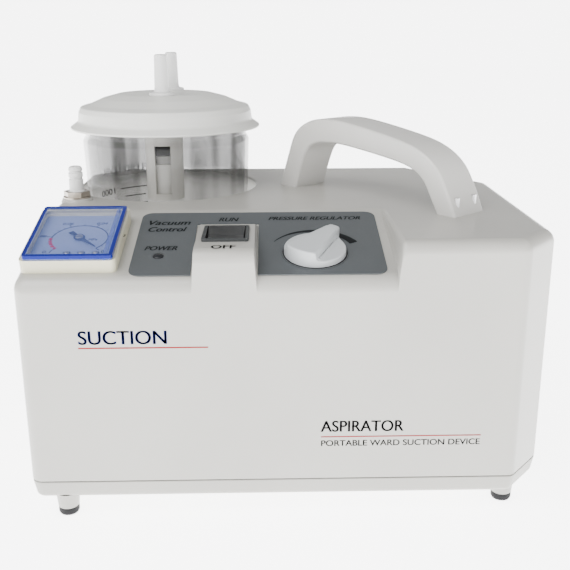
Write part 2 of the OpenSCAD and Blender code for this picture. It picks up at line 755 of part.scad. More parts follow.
module regulator_hose() {
    color([0.8, 0.82, 0.8]) hose([slope_point(knob_x, knob_s, -26.2), slope_point(knob_x, knob_s, -38),
        [manifold.x + 8, manifold.y - 16, manifold.z], manifold + [8, -6.2, 0]], 6.1, 6.1);
}

module pump_hose() {
    color([0.8, 0.82, 0.8]) hose([manifold + [14.2, 0, 0], manifold + [26, 0, 0],
        [manifold.x + 26, pump_y, head_z + 9], [pump_x - 25.2, pump_y, head_z + 9]], 6.1, 5.1);
}

module exhaust_hose() {
    color([0.8, 0.82, 0.8]) hose([[pump_x + 25.2, pump_y, head_z + 9], [114, pump_y, head_z + 9],
        [114, -72, 118], [114, -72, foot_h + 72.7]], 5.1, 8.1);
}

// ---- electrics -------------------------------------------------------------------------------

module wiring_loom() {
    color([0.1, 0.1, 0.1]) {
        run_rod([[inlet_x, 91.8, inlet_z], [inlet_x, 84, inlet_z], [inlet_x, 84, 84], [inlet_x, -96, 84],
                 [switch_x, -96, 84], [switch_x, -96, 110], [switch_x, switch_y, 112.9]], 1.6);
        run_rod([[inlet_x, 20, 84], [pump_x - 31.7, 20, 84]], 1.6);
        run_rod([[fuse_x, 91.8, inlet_z], [fuse_x, 84, inlet_z], [inlet_x, 84, inlet_z]], 1.6);
    }
}

// A panel socket: a flange, a shroud with an open cavity, and a closed back.
module mains_inlet() {
    color([0.08, 0.08, 0.08]) translate([inlet_x, 0, inlet_z]) difference() {
        union() {
            along_y(92, hy - 1.2) polygon(rounded(box_outline(28, 20, 2)));
            along_y(hy - 2.2 + 0.2, hy) polygon(rounded(box_outline(28, 20, 2)));
        }
        along_y(95, hy + 1) polygon(rounded(box_outline(24.6, 16.6, 2)));
    }
}

module inlet_pins() {
    color([0.8, 0.8, 0.82]) for (p = [[-7, -2], [7, -2], [0, 2]])
        translate([inlet_x + p.x - 1, 95, inlet_z + p.y - 2]) cube([2, 15, 4]);
}

module fuse_holder() {
    color([0.1, 0.1, 0.1]) difference() {
        rod_y(fuse_x, inlet_z, 92, hy - 0.4, 6.2);
        rod_y(fuse_x, inlet_z, 94, hy + 1, 4.4);
    }
}

module fuse_cap() {
    color([0.12, 0.12, 0.12]) {
        rod_y(fuse_x, inlet_z, 96, hy - 0.3, 4.1);
        rod_y(fuse_x, inlet_z, hy - 0.3, hy, 5.6);
    }
}

upper_housing();
base_tray();
foot_pads();
housing_screws();
carry_handle();
handle_screws();
control_panel();
power_lamp();
switch_bezel();
switch_rocker();
switch_body();
regulator_knob();
regulator_spindle();
regulator_body();
gauge_base();
gauge_dial();
gauge_cover();
gauge_screws();
gauge_pointer();
gauge_stem();
gauge_movement();
collection_jar();
jar_cushion();
jar_lid();
lid_seal();
lid_vacuum_port();
lid_patient_port();
float_cage();
float_body();
float_ring();
float_seal();
vacuum_nozzle();
nozzle_nut();
pump_plate();
pump_isolators();
crankcase();
pump_cylinder();
piston();
wrist_pin();
connecting_rod();
valve_plate();
cylinder_head();
motor_stator();
motor_windings();
motor_end_bell();
motor_rotor();
cooling_fan();
exhaust_silencer();
vacuum_manifold();
nozzle_hose();
gauge_hose();
regulator_hose();
pump_hose();
exhaust_hose();
wiring_loom();
mains_inlet();
inlet_pins();
fuse_holder();
fuse_cap();
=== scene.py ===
"""Portable suction unit: a moulded housing with a lift-out jar, gauge, regulator and carry handle.

Lengths below are millimetres; mesh_piece() turns them into the scene's metres."""
import json
import math

import bmesh
import bpy
import numpy as np
from mathutils import Matrix, Vector
from mathutils.geometry import delaunay_2d_cdt


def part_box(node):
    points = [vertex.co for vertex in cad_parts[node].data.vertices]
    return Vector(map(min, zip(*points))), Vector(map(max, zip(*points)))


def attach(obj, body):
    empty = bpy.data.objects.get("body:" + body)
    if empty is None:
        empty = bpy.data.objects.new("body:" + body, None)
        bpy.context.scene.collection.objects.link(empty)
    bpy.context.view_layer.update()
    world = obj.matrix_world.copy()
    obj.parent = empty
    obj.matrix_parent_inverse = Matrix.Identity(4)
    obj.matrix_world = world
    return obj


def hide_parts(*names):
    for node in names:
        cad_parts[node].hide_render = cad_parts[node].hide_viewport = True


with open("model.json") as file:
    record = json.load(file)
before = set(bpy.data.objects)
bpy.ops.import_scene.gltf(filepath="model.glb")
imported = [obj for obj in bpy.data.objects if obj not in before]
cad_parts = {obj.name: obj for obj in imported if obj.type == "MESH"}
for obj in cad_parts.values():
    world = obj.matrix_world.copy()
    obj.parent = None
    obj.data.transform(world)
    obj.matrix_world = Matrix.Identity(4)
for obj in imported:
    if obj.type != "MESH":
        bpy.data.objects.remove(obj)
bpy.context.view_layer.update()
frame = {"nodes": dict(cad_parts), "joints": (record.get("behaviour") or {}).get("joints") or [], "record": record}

# ---- camera ------------------------------------------------------------------------------------
# A normal lens half a metre in front of the control slope, looking a little down and to the right.
CAMERA_AT = Vector((-0.0112, -0.5183, 0.2571))
PITCH, YAW, ROLL = (math.radians(a) for a in (17.2, 1.21, -0.17))
forward = Vector((math.sin(YAW) * math.cos(PITCH), math.cos(YAW) * math.cos(PITCH), -math.sin(PITCH)))
level = forward.cross(Vector((0, 0, 1))).normalized()
right = level * math.cos(ROLL) + level.cross(forward) * math.sin(ROLL)
camera = bpy.data.objects.new("camera", bpy.data.cameras.new("camera"))
camera.data.lens = 53.2
camera.data.sensor_width = 36
facing = Matrix((right, right.cross(forward), -forward)).transposed()
camera.matrix_world = Matrix.Translation(CAMERA_AT) @ facing.to_4x4()
bpy.context.collection.objects.link(camera)
bpy.context.scene.camera = camera


# ---- floor and studio light --------------------------------------------------------------------
# A pale sheet of floor, a bright even room, and soft boxes in front, overhead and to the left.
class Sock:
    """A shader socket that takes arithmetic: numbers through Math nodes."""

    def __init__(self, tree, out):
        self.tree, self.out = tree, out

    def node(self, kind, settings=None, sockets=None, out=0):
        """Adds a node: its type, its settings, then its sockets. Gives the wrapped output."""
        made = self.tree.nodes.new("ShaderNode" + kind)
        for key, value in (settings or {}).items():
            setattr(made, key, value)
        for key, value in (sockets or {}).items():
            if isinstance(value, Sock):
                self.tree.links.new(value.out, made.inputs[key])
            else:
                made.inputs[key].default_value = value
        return Sock(self.tree, made.outputs[out])

    def math(self, operation, *values):
        return self.node("Math", {"operation": operation}, dict(enumerate(values)))

    def __add__(self, other):
        return self.math("ADD", self, other)

    def __sub__(self, other):
        return self.math("SUBTRACT", self, other)

    def __mul__(self, other):
        return self.math("MULTIPLY", self, other)

    def __radd__(self, other):
        return self.math("ADD", other, self)

    def __rsub__(self, other):
        return self.math("SUBTRACT", other, self)

    def __rmul__(self, other):
        return self.math("MULTIPLY", other, self)

    def ramp(self, low, high):
        """0 below low, 1 above high, smooth between."""
        return self.node("MapRange", {"interpolation_type": "SMOOTHSTEP"}, {0: self, 1: low, 2: high})

    def mix(self, a, b):
        """Colour a where this is 0, colour b where it is 1."""
        return self.node("Mix", {"data_type": "RGBA"}, {0: self, 6: a, 7: b}, out=2)

    def noise(self, scale, detail=3.0):
        return self.node("TexNoise", None, {"Vector": self, "Scale": scale, "Detail": detail})

    def split(self):
        parts = self.node("SeparateXYZ", None, {0: self})
        return [Sock(self.tree, out) for out in parts.out.node.outputs]


def shade(colour, factor):
    return tuple(min(1.0, c * factor) for c in colour[:3]) + (1.0,)


class Material:
    """A Principled material whose inputs are set by name, with its object coordinates at hand."""

    def __init__(self, name, **constants):
        self.data = bpy.data.materials.new(name)
        self.data.use_nodes = True
        tree = self.data.node_tree
        self.surface = tree.nodes["Principled BSDF"]
        self.place = Sock(tree, tree.nodes.new("ShaderNodeTexCoord").outputs["Object"])
        for key, value in constants.items():
            self.set(key.replace("_", " "), value)

    def set(self, key, value):
        if isinstance(value, Sock):
            value.tree.links.new(value.out, self.surface.inputs[key])
        else:
            self.surface.inputs[key].default_value = value
        return self

    def bump(self, height, strength, distance):
        self.set("Normal", height.node("Bump", None, {"Strength": strength, "Distance": distance,
                                                      "Height": height}))
        return self


def moulded(name, colour, rough, grain=900.0, bump=0.12, **constants):
    """Moulded plastic: faint cloudy tone, a fine skin grain and a roughness that wanders."""
    m = Material(name, **constants)
    cloud = m.place.noise(14.0)
    skin = m.place.noise(grain, 2.0)
    m.set("Base Color", cloud.ramp(0.3, 0.7).mix(shade(colour, 0.965), shade(colour, 1.02)))
    m.set("Roughness", rough - 0.05 + 0.1 * m.place.noise(40.0))
    return m.bump(skin, bump, 0.0002)


floor = bpy.data.objects.new("floor", bpy.data.meshes.new("floor"))
floor.data.from_pydata([(-4, -3, 0), (4, -3, 0), (4, 5, 0), (-4, 5, 0)], [], [(0, 1, 2, 3)])
floor_paper = moulded("floor_paper", (0.9, 0.9, 0.9), 0.9, grain=300.0, bump=0.05)
floor_paper.set("Emission Color", (1.0, 1.0, 1.0, 1.0)).set("Emission Strength", 5.6)
floor.data.materials.append(floor_paper.data)
bpy.context.collection.objects.link(floor)

room = bpy.data.worlds.new("room")
room.use_nodes = True
way = Sock(room.node_tree, room.node_tree.nodes.new("ShaderNodeTexCoord").outputs["Generated"])
_, north, height = way.split()
sky = 1.75 - 1.1 * north.ramp(-0.9, 0.35)
horizon = 1.0 - height.ramp(0.02, 0.07)
glow = sky + horizon * (6.6 - sky)
room.node_tree.links.new(glow.node("CombineXYZ", None, {0: glow, 1: glow, 2: glow}).out,
                         room.node_tree.nodes["Background"].inputs["Color"])
bpy.context.scene.world = room


def soft_box(name, at, to, size, watts):
    light = bpy.data.lights.new(name, "AREA")
    light.shape = "RECTANGLE"
    light.size, light.size_y = size
    light.energy = watts
    lamp = bpy.data.objects.new(name, light)
    aim = (Vector(to) - Vector(at)).to_track_quat("-Z", "Y").to_matrix().to_4x4()
    lamp.matrix_world = Matrix.Translation(at) @ aim
    bpy.context.collection.objects.link(lamp)


soft_box("front_box", (-0.5, -1.7, 0.9), (0, 0, 0.12), (1.3, 1.0), 8)
soft_box("left_box", (-1.5, -0.4, 0.8), (0, 0, 0.12), (0.8, 1.0), 5)
soft_box("top_box", (-0.7, -0.7, 1.5), (0, 0, 0.1), (1.0, 1.0), 24.0)


# ---- housing -----------------------------------------------------------------------------------
# The upper moulding in semi-gloss white: deck, control slope, switch podium and jar well in one skin.
# Its plan is a rounded outline; heights follow one formula, and a triangulation carries both.
def corner_box(node):
    lo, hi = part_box(node)
    return np.array(lo) * 1000, np.array(hi) * 1000


def joint(name):
    return next(j for j in frame["joints"] if j["name"] == name)


def mesh_piece(name, verts, faces, material, body, slot, replaces=(), flat=None, weighted=False):
    """A piece from vertex positions in mm. Doubles are welded and faces turned outward."""
    mesh = bpy.data.meshes.new(name)
    mesh.from_pydata((np.asarray(verts, float) / 1000).tolist(), [], [[int(i) for i in f] for f in faces])
    work = bmesh.new()
    work.from_mesh(mesh)
    bmesh.ops.remove_doubles(work, verts=work.verts, dist=2e-6)
    bmesh.ops.dissolve_degenerate(work, edges=work.edges, dist=1e-7)
    bmesh.ops.recalc_face_normals(work, faces=work.faces)
    work.to_mesh(mesh)
    work.free()
    mesh.polygons.foreach_set("use_smooth", [True] * len(mesh.polygons))
    if flat is not None:
        mesh.set_sharp_from_angle(angle=math.radians(flat))
    mesh.materials.append(material.data)
    piece = bpy.data.objects.new(name, mesh)
    bpy.context.collection.objects.link(piece)
    if weighted:
        soften = piece.modifiers.new("weighted", "WEIGHTED_NORMAL")
        soften.keep_sharp = True
    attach(piece, body)
    if replaces:
        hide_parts(*replaces)
    return piece


def fillet(points, closed=True, steps=7):
    """A path of (x, y, radius) corners with each corner turned into an arc."""
    out = []
    n = len(points)
    for i, (x, y, r) in enumerate(points):
        b = np.array([x, y], float)
        if r <= 0 or (not closed and i in (0, n - 1)):
            out.append(b)
            continue
        u = np.array(points[i - 1][:2], float) - b
        v = np.array(points[(i + 1) % n][:2], float) - b
        u, v = u / np.linalg.norm(u), v / np.linalg.norm(v)
        half = math.acos(np.clip(u @ v, -1, 1)) / 2
        mid = b + (u + v) / np.linalg.norm(u + v) * r / math.sin(half)
        a0 = np.arctan2(*(b + u * r / math.tan(half) - mid)[::-1])
        a1 = np.arctan2(*(b + v * r / math.tan(half) - mid)[::-1])
        sweep = (a1 - a0 + math.pi) % (2 * math.pi) - math.pi
        out += [mid + r * np.array([math.cos(a0 + sweep * k / steps), math.sin(a0 + sweep * k / steps)])
                for k in range(steps + 1)]
    return np.array(out)


def inset(points, g):
    """The convex outline of (x, y, radius) corners moved inward by g."""
    out = []
    for i, (x, y, r) in enumerate(points):
        b = np.array([x, y], float)
        u = np.array(points[i - 1][:2], float) - b
        v = np.array(points[(i + 1) % len(points)][:2], float) - b
        u, v = u / np.linalg.norm(u), v / np.linalg.norm(v)
        half = math.acos(np.clip(u @ v, -1, 1)) / 2
        q = b + (u + v) / np.linalg.norm(u + v) * g / math.sin(half)
        out.append((q[0], q[1], max(r - g, 0.0)))
    return out


def grid_faces(rows, columns, closed=False):
    """Quads of a rows x columns grid of points, with the last column joined to the first if closed."""
    i, j = np.meshgrid(np.arange(rows - 1), np.arange(columns if closed else columns - 1), indexing="ij")
    k = (j + 1) % columns
    return np.stack([i * columns + j, i * columns + k, (i + 1) * columns + k, (i + 1) * columns + j],
                    -1).reshape(-1, 4)


def smooth(t):
    t = np.clip(t, 0, 1)
    return t * t * (3 - 2 * t)


LO, HI = corner_box("upper_housing")
SKIN = 0.15
EDGE = 6.8
FRONT, DECK, PARTING = LO[1], 154.2, 22.5
knob_joint = joint("knob_turn")
NORMAL = np.array(knob_joint["axis"], float)
NORMAL /= np.linalg.norm(NORMAL)
SLOPE = math.atan2(-NORMAL[1], NORMAL[2])
KNOB = np.array(knob_joint["pos_m"], float) * 1000
LOW = KNOB[2] - (KNOB[1] - FRONT) * math.tan(SLOPE)
SLOPE_D = (DECK - LOW) / math.tan(SLOPE)
STEP = 54.6
PODIUM = (-50.0, -16.6, FRONT + 59.0, 150.3)
jar_lo, jar_hi = corner_box("collection_jar")
JAR = (jar_lo + jar_hi)[:2] / 2
WELL = 58.8
bezel_lo, bezel_hi = corner_box("switch_bezel")
BEZEL = (bezel_lo + bezel_hi) / 2
OPENING = [(BEZEL[0] + sx * 11.0, BEZEL[1] + sy * 14.4) for sx, sy in ((-1, -1), (1, -1), (1, 1), (-1, 1))]
PLAN = [(LO[0], FRONT, 7), (120.4, FRONT, 7), (HI[0], FRONT + 23, 7), (HI[0], 47, 7), (95, HI[1], 7),
        (LO[0] + 24, HI[1], 7), (LO[0], HI[1] - 24, 7)]
SKIN_PLAN = inset(PLAN, SKIN)
LIP = 1.3


def edge_distance(p):
    """How far points lie inside the plan's outline: 7 less the distance from its core polygon."""
    core = np.array([q[:2] for q in inset(PLAN, 7.0)])
    a, b = core, np.roll(core, -1, 0)
    t = np.clip(((p[:, None] - a) * (b - a)).sum(-1) / ((b - a) ** 2).sum(-1), 0, 1)
    gap = np.linalg.norm(p[:, None] - a - t[..., None] * (b - a), axis=-1).min(1)
    cross = (b - a)[:, 0] * (p[:, None, 1] - a[:, 1]) - (b - a)[:, 1] * (p[:, None, 0] - a[:, 0])
    return np.where((cross > 0).all(1), 7.0 + gap, 7.0 - gap) - SKIN


def skin_height(p):
    """z of the moulding over plan points: slope and deck blended, podium and step ramped up from them."""
    x, y = p[:, 0], p[:, 1]
    ramp = LOW + (y - FRONT) * math.tan(SLOPE)
    soft = 1.6
    h = np.clip(0.5 + 0.5 * (DECK - ramp) / soft, 0, 1)
    base = DECK * (1 - h) + ramp * h - soft * h * (1 - h)
    base = base + (DECK - base) * (1 - (1 - np.clip((x - STEP) / 4.0, 0, 1)) ** 3)
    inside = smooth((x - PODIUM[0]) / 1.6) * smooth((PODIUM[1] - x) / 1.6) * smooth((PODIUM[2] - y) / 1.6)
    return np.maximum(base, base + (PODIUM[3] - base) * inside)


def drop(d, radius):
    """How far a rounded edge of that radius falls below its face, d in from the edge."""
    d = np.clip(d, 0, radius)
    return radius - np.sqrt(np.maximum(radius ** 2 - (radius - d) ** 2, 0))


def surface(p):
    well = np.hypot(p[:, 0] - JAR[0], p[:, 1] - JAR[1]) - WELL
    return skin_height(p) - drop(edge_distance(p), EDGE) - drop(well, LIP)


def joined(parts):
    """Several (verts, faces) as one."""
    verts, faces, count = [], [], 0
    for v, f in parts:
        verts.append(v)
        faces += [[count + int(i) for i in q] for q in f]
        count += len(v)
    return np.concatenate(verts), faces


REAR = float(np.max(fillet(SKIN_PLAN)[:, 1]))
RIM = 2.6
INLET_HOLE = (0.0, 48.0, 14.2, 10.2)
FUSE_HOLE = (30.0, 48.0, 6.3)
VENTS = [(56 + 6.0 * k, 101.0, 1.5, 17.0) for k in range(-4, 5)]


def box_loop(x, z, half_x, half_z, radius):
    """A rounded oblong about (x, z), from its half sizes."""
    signs = ((-1, -1), (1, -1), (1, 1), (-1, 1))
    return fillet([(x + sx * half_x, z + sz * half_z, radius) for sx, sz in signs])


def rear_wall():
    """The flat rear wall in (x, z), pierced for the mains inlet, the fuse holder and nine vent slots."""
    ends = fillet(SKIN_PLAN)
    ends = ends[ends[:, 1] > REAR - 0.01]
    (x0, x1), (z0, z1) = (ends[:, 0].min(), ends[:, 0].max()), (PARTING + 0.7, float(surface(ends)[0]))
    turn = np.linspace(0, 2 * math.pi, 48, endpoint=False)
    fuse = np.column_stack([FUSE_HOLE[0] + FUSE_HOLE[2] * np.cos(turn),
                            FUSE_HOLE[1] + FUSE_HOLE[2] * np.sin(turn)])
    loops = [np.array([(x0, z0), (x1, z0), (x1, z1), (x0, z1)]), box_loop(*INLET_HOLE, 1.0), fuse]
    loops += [box_loop(*vent, 1.4) for vent in VENTS]
    points, edges = [], []
    for loop in loops:
        first, n = len(points), len(loop)
        points += [Vector(q) for q in loop]
        edges += [(first + k, first + (k + 1) % n) for k in range(n)]
    out = delaunay_2d_cdt(points, edges, [], 0, 1e-4)
    flat = np.array([tuple(q) for q in out[0]])
    faces = np.array([tuple(f) for f in out[2] if len(f) == 3])
    x, z = flat[faces].mean(1).T
    # triangles inside a hole go; the factor tells the circle's own slivers from its neighbours
    solid = np.hypot(x - FUSE_HOLE[0], z - FUSE_HOLE[1]) > 0.996 * FUSE_HOLE[2]
    for cx, cz, half_x, half_z in [INLET_HOLE] + VENTS:
        solid &= (np.abs(x - cx) > half_x) | (np.abs(z - cz) > half_z)
    parts = [(np.column_stack([flat[:, 0], np.full(len(flat), REAR), flat[:, 1]]), faces[solid][:, ::-1])]
    for loop in loops[1:]:
        rings = [np.column_stack([loop[:, 0], np.full(len(loop), y), loop[:, 1]])
                 for y in (REAR, REAR - RIM)]
        parts.append((np.concatenate(rings), grid_faces(2, len(loop), True)))
    return joined(parts)


def housing_mesh():
    """The skin: triangulated plan with its edge arcs and feature lines, then walls, well and floor."""
    points, edges = [], []

    def path(pts, closed):
        first = len(points)
        points.extend([tuple(q) for q in pts])
        edges.extend([(first + k, first + k + 1) for k in range(len(pts) - 1)])
        if closed:
            edges.append((len(points) - 1, first))

    ramps = np.array([0, 0.3, 0.6, 0.9, 1.2, 1.6])
    lines_x = np.concatenate([PODIUM[0] + ramps, PODIUM[1] - ramps,
                              STEP + np.array([0, 0.25, 0.6, 1.0, 1.6, 2.4, 4.0])])
    outline = fillet(SKIN_PLAN)
    cut = int(np.argmax((outline[:, 0] > 100) & (outline[:, 1] < FRONT + SKIN + 0.01)))
    extra = np.column_stack([np.sort(lines_x), np.full(len(lines_x), FRONT + SKIN)])
    outline = np.concatenate([outline[:cut], extra, outline[cut:]])
    path(outline, True)
    for a in np.radians([8, 18, 30, 42, 54, 66, 78, 90]):
        path(fillet(inset(PLAN, SKIN + EDGE * (1 - math.cos(a)))), True)
    turn = np.linspace(0, 2 * math.pi, 144, endpoint=False)
    for g in LIP * (1 - np.cos(np.radians([0, 30, 60, 90]))):
        path(np.column_stack([JAR[0] + (WELL + g) * np.cos(turn), JAR[1] + (WELL + g) * np.sin(turn)]), True)
    for x in lines_x[:12]:
        path([(x, FRONT + SKIN), (x, PODIUM[2] + 0.5)], False)
    for x in lines_x[12:]:
        path([(x, FRONT + SKIN), (x, FRONT + SLOPE_D + 8)], False)
    for y in PODIUM[2] - ramps:
        path([(PODIUM[0] - 0.5, y), (PODIUM[1] + 0.5, y)], False)
    for y in FRONT + SLOPE_D + np.linspace(-3.4, 3.4, 7):
        path([(LO[0] + 1, y), (STEP + 4, y)], False)
    path(OPENING, True)
    out = delaunay_2d_cdt([Vector(q) for q in points], edges, [], 0, 1e-4)
    plan = np.array([tuple(q) for q in out[0]])
    faces = np.array([tuple(f) for f in out[2] if len(f) == 3])
    middle = plan[faces].mean(1)
    keep = (edge_distance(middle) > 0.0005) & (np.hypot(*(middle - JAR).T) > WELL - 0.03)
    keep &= ~((middle > OPENING[0]) & (middle < OPENING[2])).all(1)
    parts = [(np.column_stack([plan, surface(plan)]), faces[keep])]
    # outer walls, down to a small turned-in lip at the parting line
    rows = [np.column_stack([outline, surface(outline)])]
    rows.append(np.column_stack([outline, np.full(len(outline), PARTING + 0.7)]))
    centre = outline.mean(0)
    for g, z in ((0.12, PARTING + 0.4), (0.9, PARTING + 0.2)):
        rows.append(np.column_stack([centre + (outline - centre) * (1 - g / 125), np.full(len(outline), z)]))
    walls = np.concatenate(rows)
    bands = grid_faces(4, len(outline), True)
    rear = (walls[bands][:, :, 1] > REAR - 0.01).all(1)
    parts.append((walls, bands[~rear]))
    # the well: from its rim down a slight draft to the floor
    rim = np.column_stack([JAR[0] + WELL * np.cos(turn), JAR[1] + WELL * np.sin(turn)])
    rings = [np.column_stack([rim, surface(rim)])]
    for r, z in ((WELL - 0.1, 149.0), (WELL - 4.4, 24.0), (WELL - 7.5, 20.6), (20.0, 20.6), (0.02, 20.6)):
        rings.append(np.column_stack([JAR[0] + r * np.cos(turn), JAR[1] + r * np.sin(turn),
                                      np.full(len(turn), z)]))
    parts.append((np.concatenate(rings), grid_faces(len(rings), len(turn), True)))
    return joined(parts)


WHITE = (0.322, 0.315, 0.291)
housing_skin = moulded("housing_skin", WHITE, 0.32, grain=700.0, bump=0.08, Coat_Weight=0.2,
                       Coat_Roughness=0.2, Emission_Strength=1.0)
flat_place = housing_skin.place.node("VectorMath", {"operation": "MULTIPLY"},
                                     {0: housing_skin.place, 1: (1.0, 1.0, 0.0)})
from_jar = flat_place.node("VectorMath", {"operation": "DISTANCE"},
                           {0: flat_place, 1: (JAR[0] / 1000, JAR[1] / 1000, 0.0)}, out=1)
in_well = 1.0 - from_jar.ramp(0.0586, 0.0589)
cloudy = housing_skin.place.noise(14.0).ramp(0.3, 0.7).mix(shade(WHITE, 0.965), shade(WHITE, 1.02))
# painted light: inside the well the same white moulding is given a far paler colour than the rest of the skin
housing_skin.set("Base Color", in_well.mix(cloudy, (0.88, 0.87, 0.85, 1.0)))
# painted light: the well's skin also glows, fading towards its floor, standing in for the light that falls into
# the well
painted_well_glow = in_well * (0.45 + 0.55 * housing_skin.place.split()[2].ramp(0.03, 0.14))
housing_skin.set("Emission Color", painted_well_glow.mix((0.0, 0.0, 0.0, 1.0), (0.50, 0.495, 0.475, 1.0)))
mesh_piece("housing_shell", *housing_mesh(), housing_skin, "housing", "housing_white", ("upper_housing",),
           weighted=True)
mesh_piece("rear_panel", *rear_wall(), housing_skin, "housing", "housing_white", flat=0.5)

# the boss that the deck nozzle stands on, turned as one small collar moulded with the deck
nozzle_lo, nozzle_hi = corner_box("vacuum_nozzle")
NOZZLE = (nozzle_lo + nozzle_hi)[:2] / 2


def lathe(profile, at, steps=96):
    """A profile of (radius, z) turned about the vertical axis at a plan point."""
    turn = np.linspace(0, 2 * math.pi, steps, endpoint=False)
    p = np.asarray(profile, float)
    x = at[0] + p[:, :1] * np.cos(turn)
    y = at[1] + p[:, :1] * np.sin(turn)
    z = np.repeat(p[:, 1:], steps, 1)
    return np.stack([x, y, z], -1).reshape(-1, 3), grid_faces(len(p), steps, True)


boss = fillet([(0, DECK - 1, 0), (9.8, DECK - 0.6, 0), (8.6, DECK + 1.8, 0.8), (0, DECK + 1.8, 0)], False)
mesh_piece("nozzle_collar", *lathe(boss, NOZZLE), housing_skin, "housing", "housing_white", flat=50)

# ---- base tray ---------------------------------------------------------------------------------
# The lower moulding: a shallow tray with a rolled bottom edge, meeting the housing at a fine groove,
# and four short tapered legs. The rubber pads under them are their own pieces.
tray_skin = moulded("tray_skin", (0.285, 0.279, 0.256), 0.42, grain=700.0, bump=0.12)
TRAY_Z = corner_box("foot_pads")[1][2] + 8.0


def tray_mesh():
    """Rings of the plan: groove, wall, rolled edge, then the flat bottom as one face."""
    rings = [(1.2, PARTING - 0.2), (0.5, PARTING - 0.35), (SKIN + 0.15, PARTING - 0.8), (1.5, TRAY_Z + 3.5)]
    rings += [(1.5 + 3.5 * (1 - math.cos(a)), TRAY_Z + 3.5 * (1 - math.sin(a)))
              for a in np.radians([15, 30, 45, 60, 75, 90])]
    loops = [np.column_stack([fillet(inset(PLAN, g)), np.full(len(fillet(PLAN)), z)]) for g, z in rings]
    n = len(loops[0])
    faces = grid_faces(len(rings), n, True).tolist()
    faces.append(list(range((len(rings) - 1) * n, len(rings) * n)))
    return np.concatenate(loops), faces


mesh_piece("tray_shell", *tray_mesh(), tray_skin, "housing", "tray_white", ("base_tray",), weighted=True)
FEET = [(-122.2, -106.5), (120.0, -98.0), (-122.0, 99.0), (88.0, 99.0)]
for number, foot in enumerate(FEET):
    leg = fillet([(6.8, TRAY_Z + 1, 0), (6.4, TRAY_Z - 0.2, 0), (5.7, 4.4, 0.8), (4.9, 3.6, 0),
                  (3.3, 3.6, 0), (3.3, 8, 0), (0.02, 8, 0)], False)
    mesh_piece(f"leg_{number}", *lathe(leg, foot, 48), tray_skin, "housing", "tray_white", flat=50)

# ---- carry handle ------------------------------------------------------------------------------
# A fixed arched band over the deck, moulded solid with soft edges, its top sloping to the front.
# Its section is a rounded oblong carried along the gap between an outer and an inner curve.
HANDLE_MID, HANDLE_TURN = np.array([56.9, -2.1]), math.radians(-48.1)
BAND, SPAN, CORNER = 28.0, 145.5, 1.9
OUTER = [(-0.9, 0), (6.2, 20), (12.8, 35), (23.0, 42.8), (37, 46.2), (58, 45.7), (97, 39.6), (115.5, 34.2),
         (127.6, 26.0), (135.4, 14.4), (142.2, 0)]
INNER = [(14.2, 0), (19.2, 14.8), (24.2, 25.2), (31.2, 29.9), (42, 31.7), (60, 31.2), (96, 26.6),
         (110.6, 22.8), (118.4, 17.2), (123.8, 8.8), (128.8, 0)]


def spline(points, per):
    """Catmull-Rom through the points, per steps between each pair."""
    p = np.array(points, float)
    p = np.concatenate([[2 * p[0] - p[1]], p, [2 * p[-1] - p[-2]]])
    t = np.linspace(0, 1, per, endpoint=False)[:, None]
    parts = [0.5 * (2 * b + (c - a) * t + (2 * a - 5 * b + 4 * c - d) * t ** 2 + (3 * b - a - 3 * c + d)
                    * t ** 3) for a, b, c, d in zip(p, p[1:], p[2:], p[3:])]
    return np.concatenate(parts + [p[-2:-1]])


def handle_mesh():
    """Section at each station: an oblong with 1.9 mm corners, straight sides joined by quarter circles."""
    outer, inner = spline(OUTER, 8), spline(INNER, 8)
    phi = np.radians(np.arange(0, 360, 10) + 5.0)
    mid, half = (outer + inner) / 2, (outer - inner) / 2
    thick = np.linalg.norm(half, axis=1)[:, None]
    u = (np.sign(np.cos(phi)) * (thick - CORNER) + CORNER * np.cos(phi)) / thick
    across = np.broadcast_to(np.sign(np.sin(phi)) * (BAND / 2 - CORNER) + CORNER * np.sin(phi), u.shape)
    run = mid[:, :1] + half[:, :1] * u - SPAN / 2
    z = DECK + mid[:, 1:] + half[:, 1:] * u
    x = HANDLE_MID[0] + run * math.cos(HANDLE_TURN) - across * math.sin(HANDLE_TURN)
    y = HANDLE_MID[1] + run * math.sin(HANDLE_TURN) + across * math.cos(HANDLE_TURN)
    n = len(outer)
    faces = grid_faces(n, len(phi), True).tolist()
    faces += [list(range(len(phi))), list(range((n - 1) * len(phi), n * len(phi)))]
    return np.stack([x, y, z], -1).reshape(-1, 3), faces


handle_skin = moulded("handle_skin", (0.46, 0.452, 0.43), 0.34, grain=800.0, bump=0.08, Coat_Weight=0.1)
mesh_piece("handle_band", *handle_mesh(), handle_skin, "housing", "handle_white", ("carry_handle",), flat=70)

# ---- control panel -----------------------------------------------------------------------------
# A printed grey film on the slope with a fine matt grain; its plain legends and the tapering arc over
# the knob are ink, a hair above the film.
panel_film = moulded("panel_film", (0.054, 0.060, 0.064), 0.5, grain=2600.0, bump=0.15,
                     Specular_IOR_Level=0.3)
frame["nodes"]["control_panel"].data.materials.clear()
frame["nodes"]["control_panel"].data.materials.append(panel_film.data)
dark_ink = moulded("dark_ink", (0.004, 0.005, 0.006), 0.5, grain=3000.0, bump=0.05, Specular_IOR_Level=0.08)
KNOB_S = (KNOB[1] - FRONT) / math.cos(SLOPE)
FILM = 0.62


def on_slope(x, s, h):
    """Points of the control slope: x across, s up it from the front edge, h off its face."""
    x, s, h = np.broadcast_arrays(np.asarray(x, float), s, h)
    return np.stack([x, FRONT + s * math.cos(SLOPE) - h * math.sin(SLOPE),
                     LOW + s * math.sin(SLOPE) + h * math.cos(SLOPE)], -1)


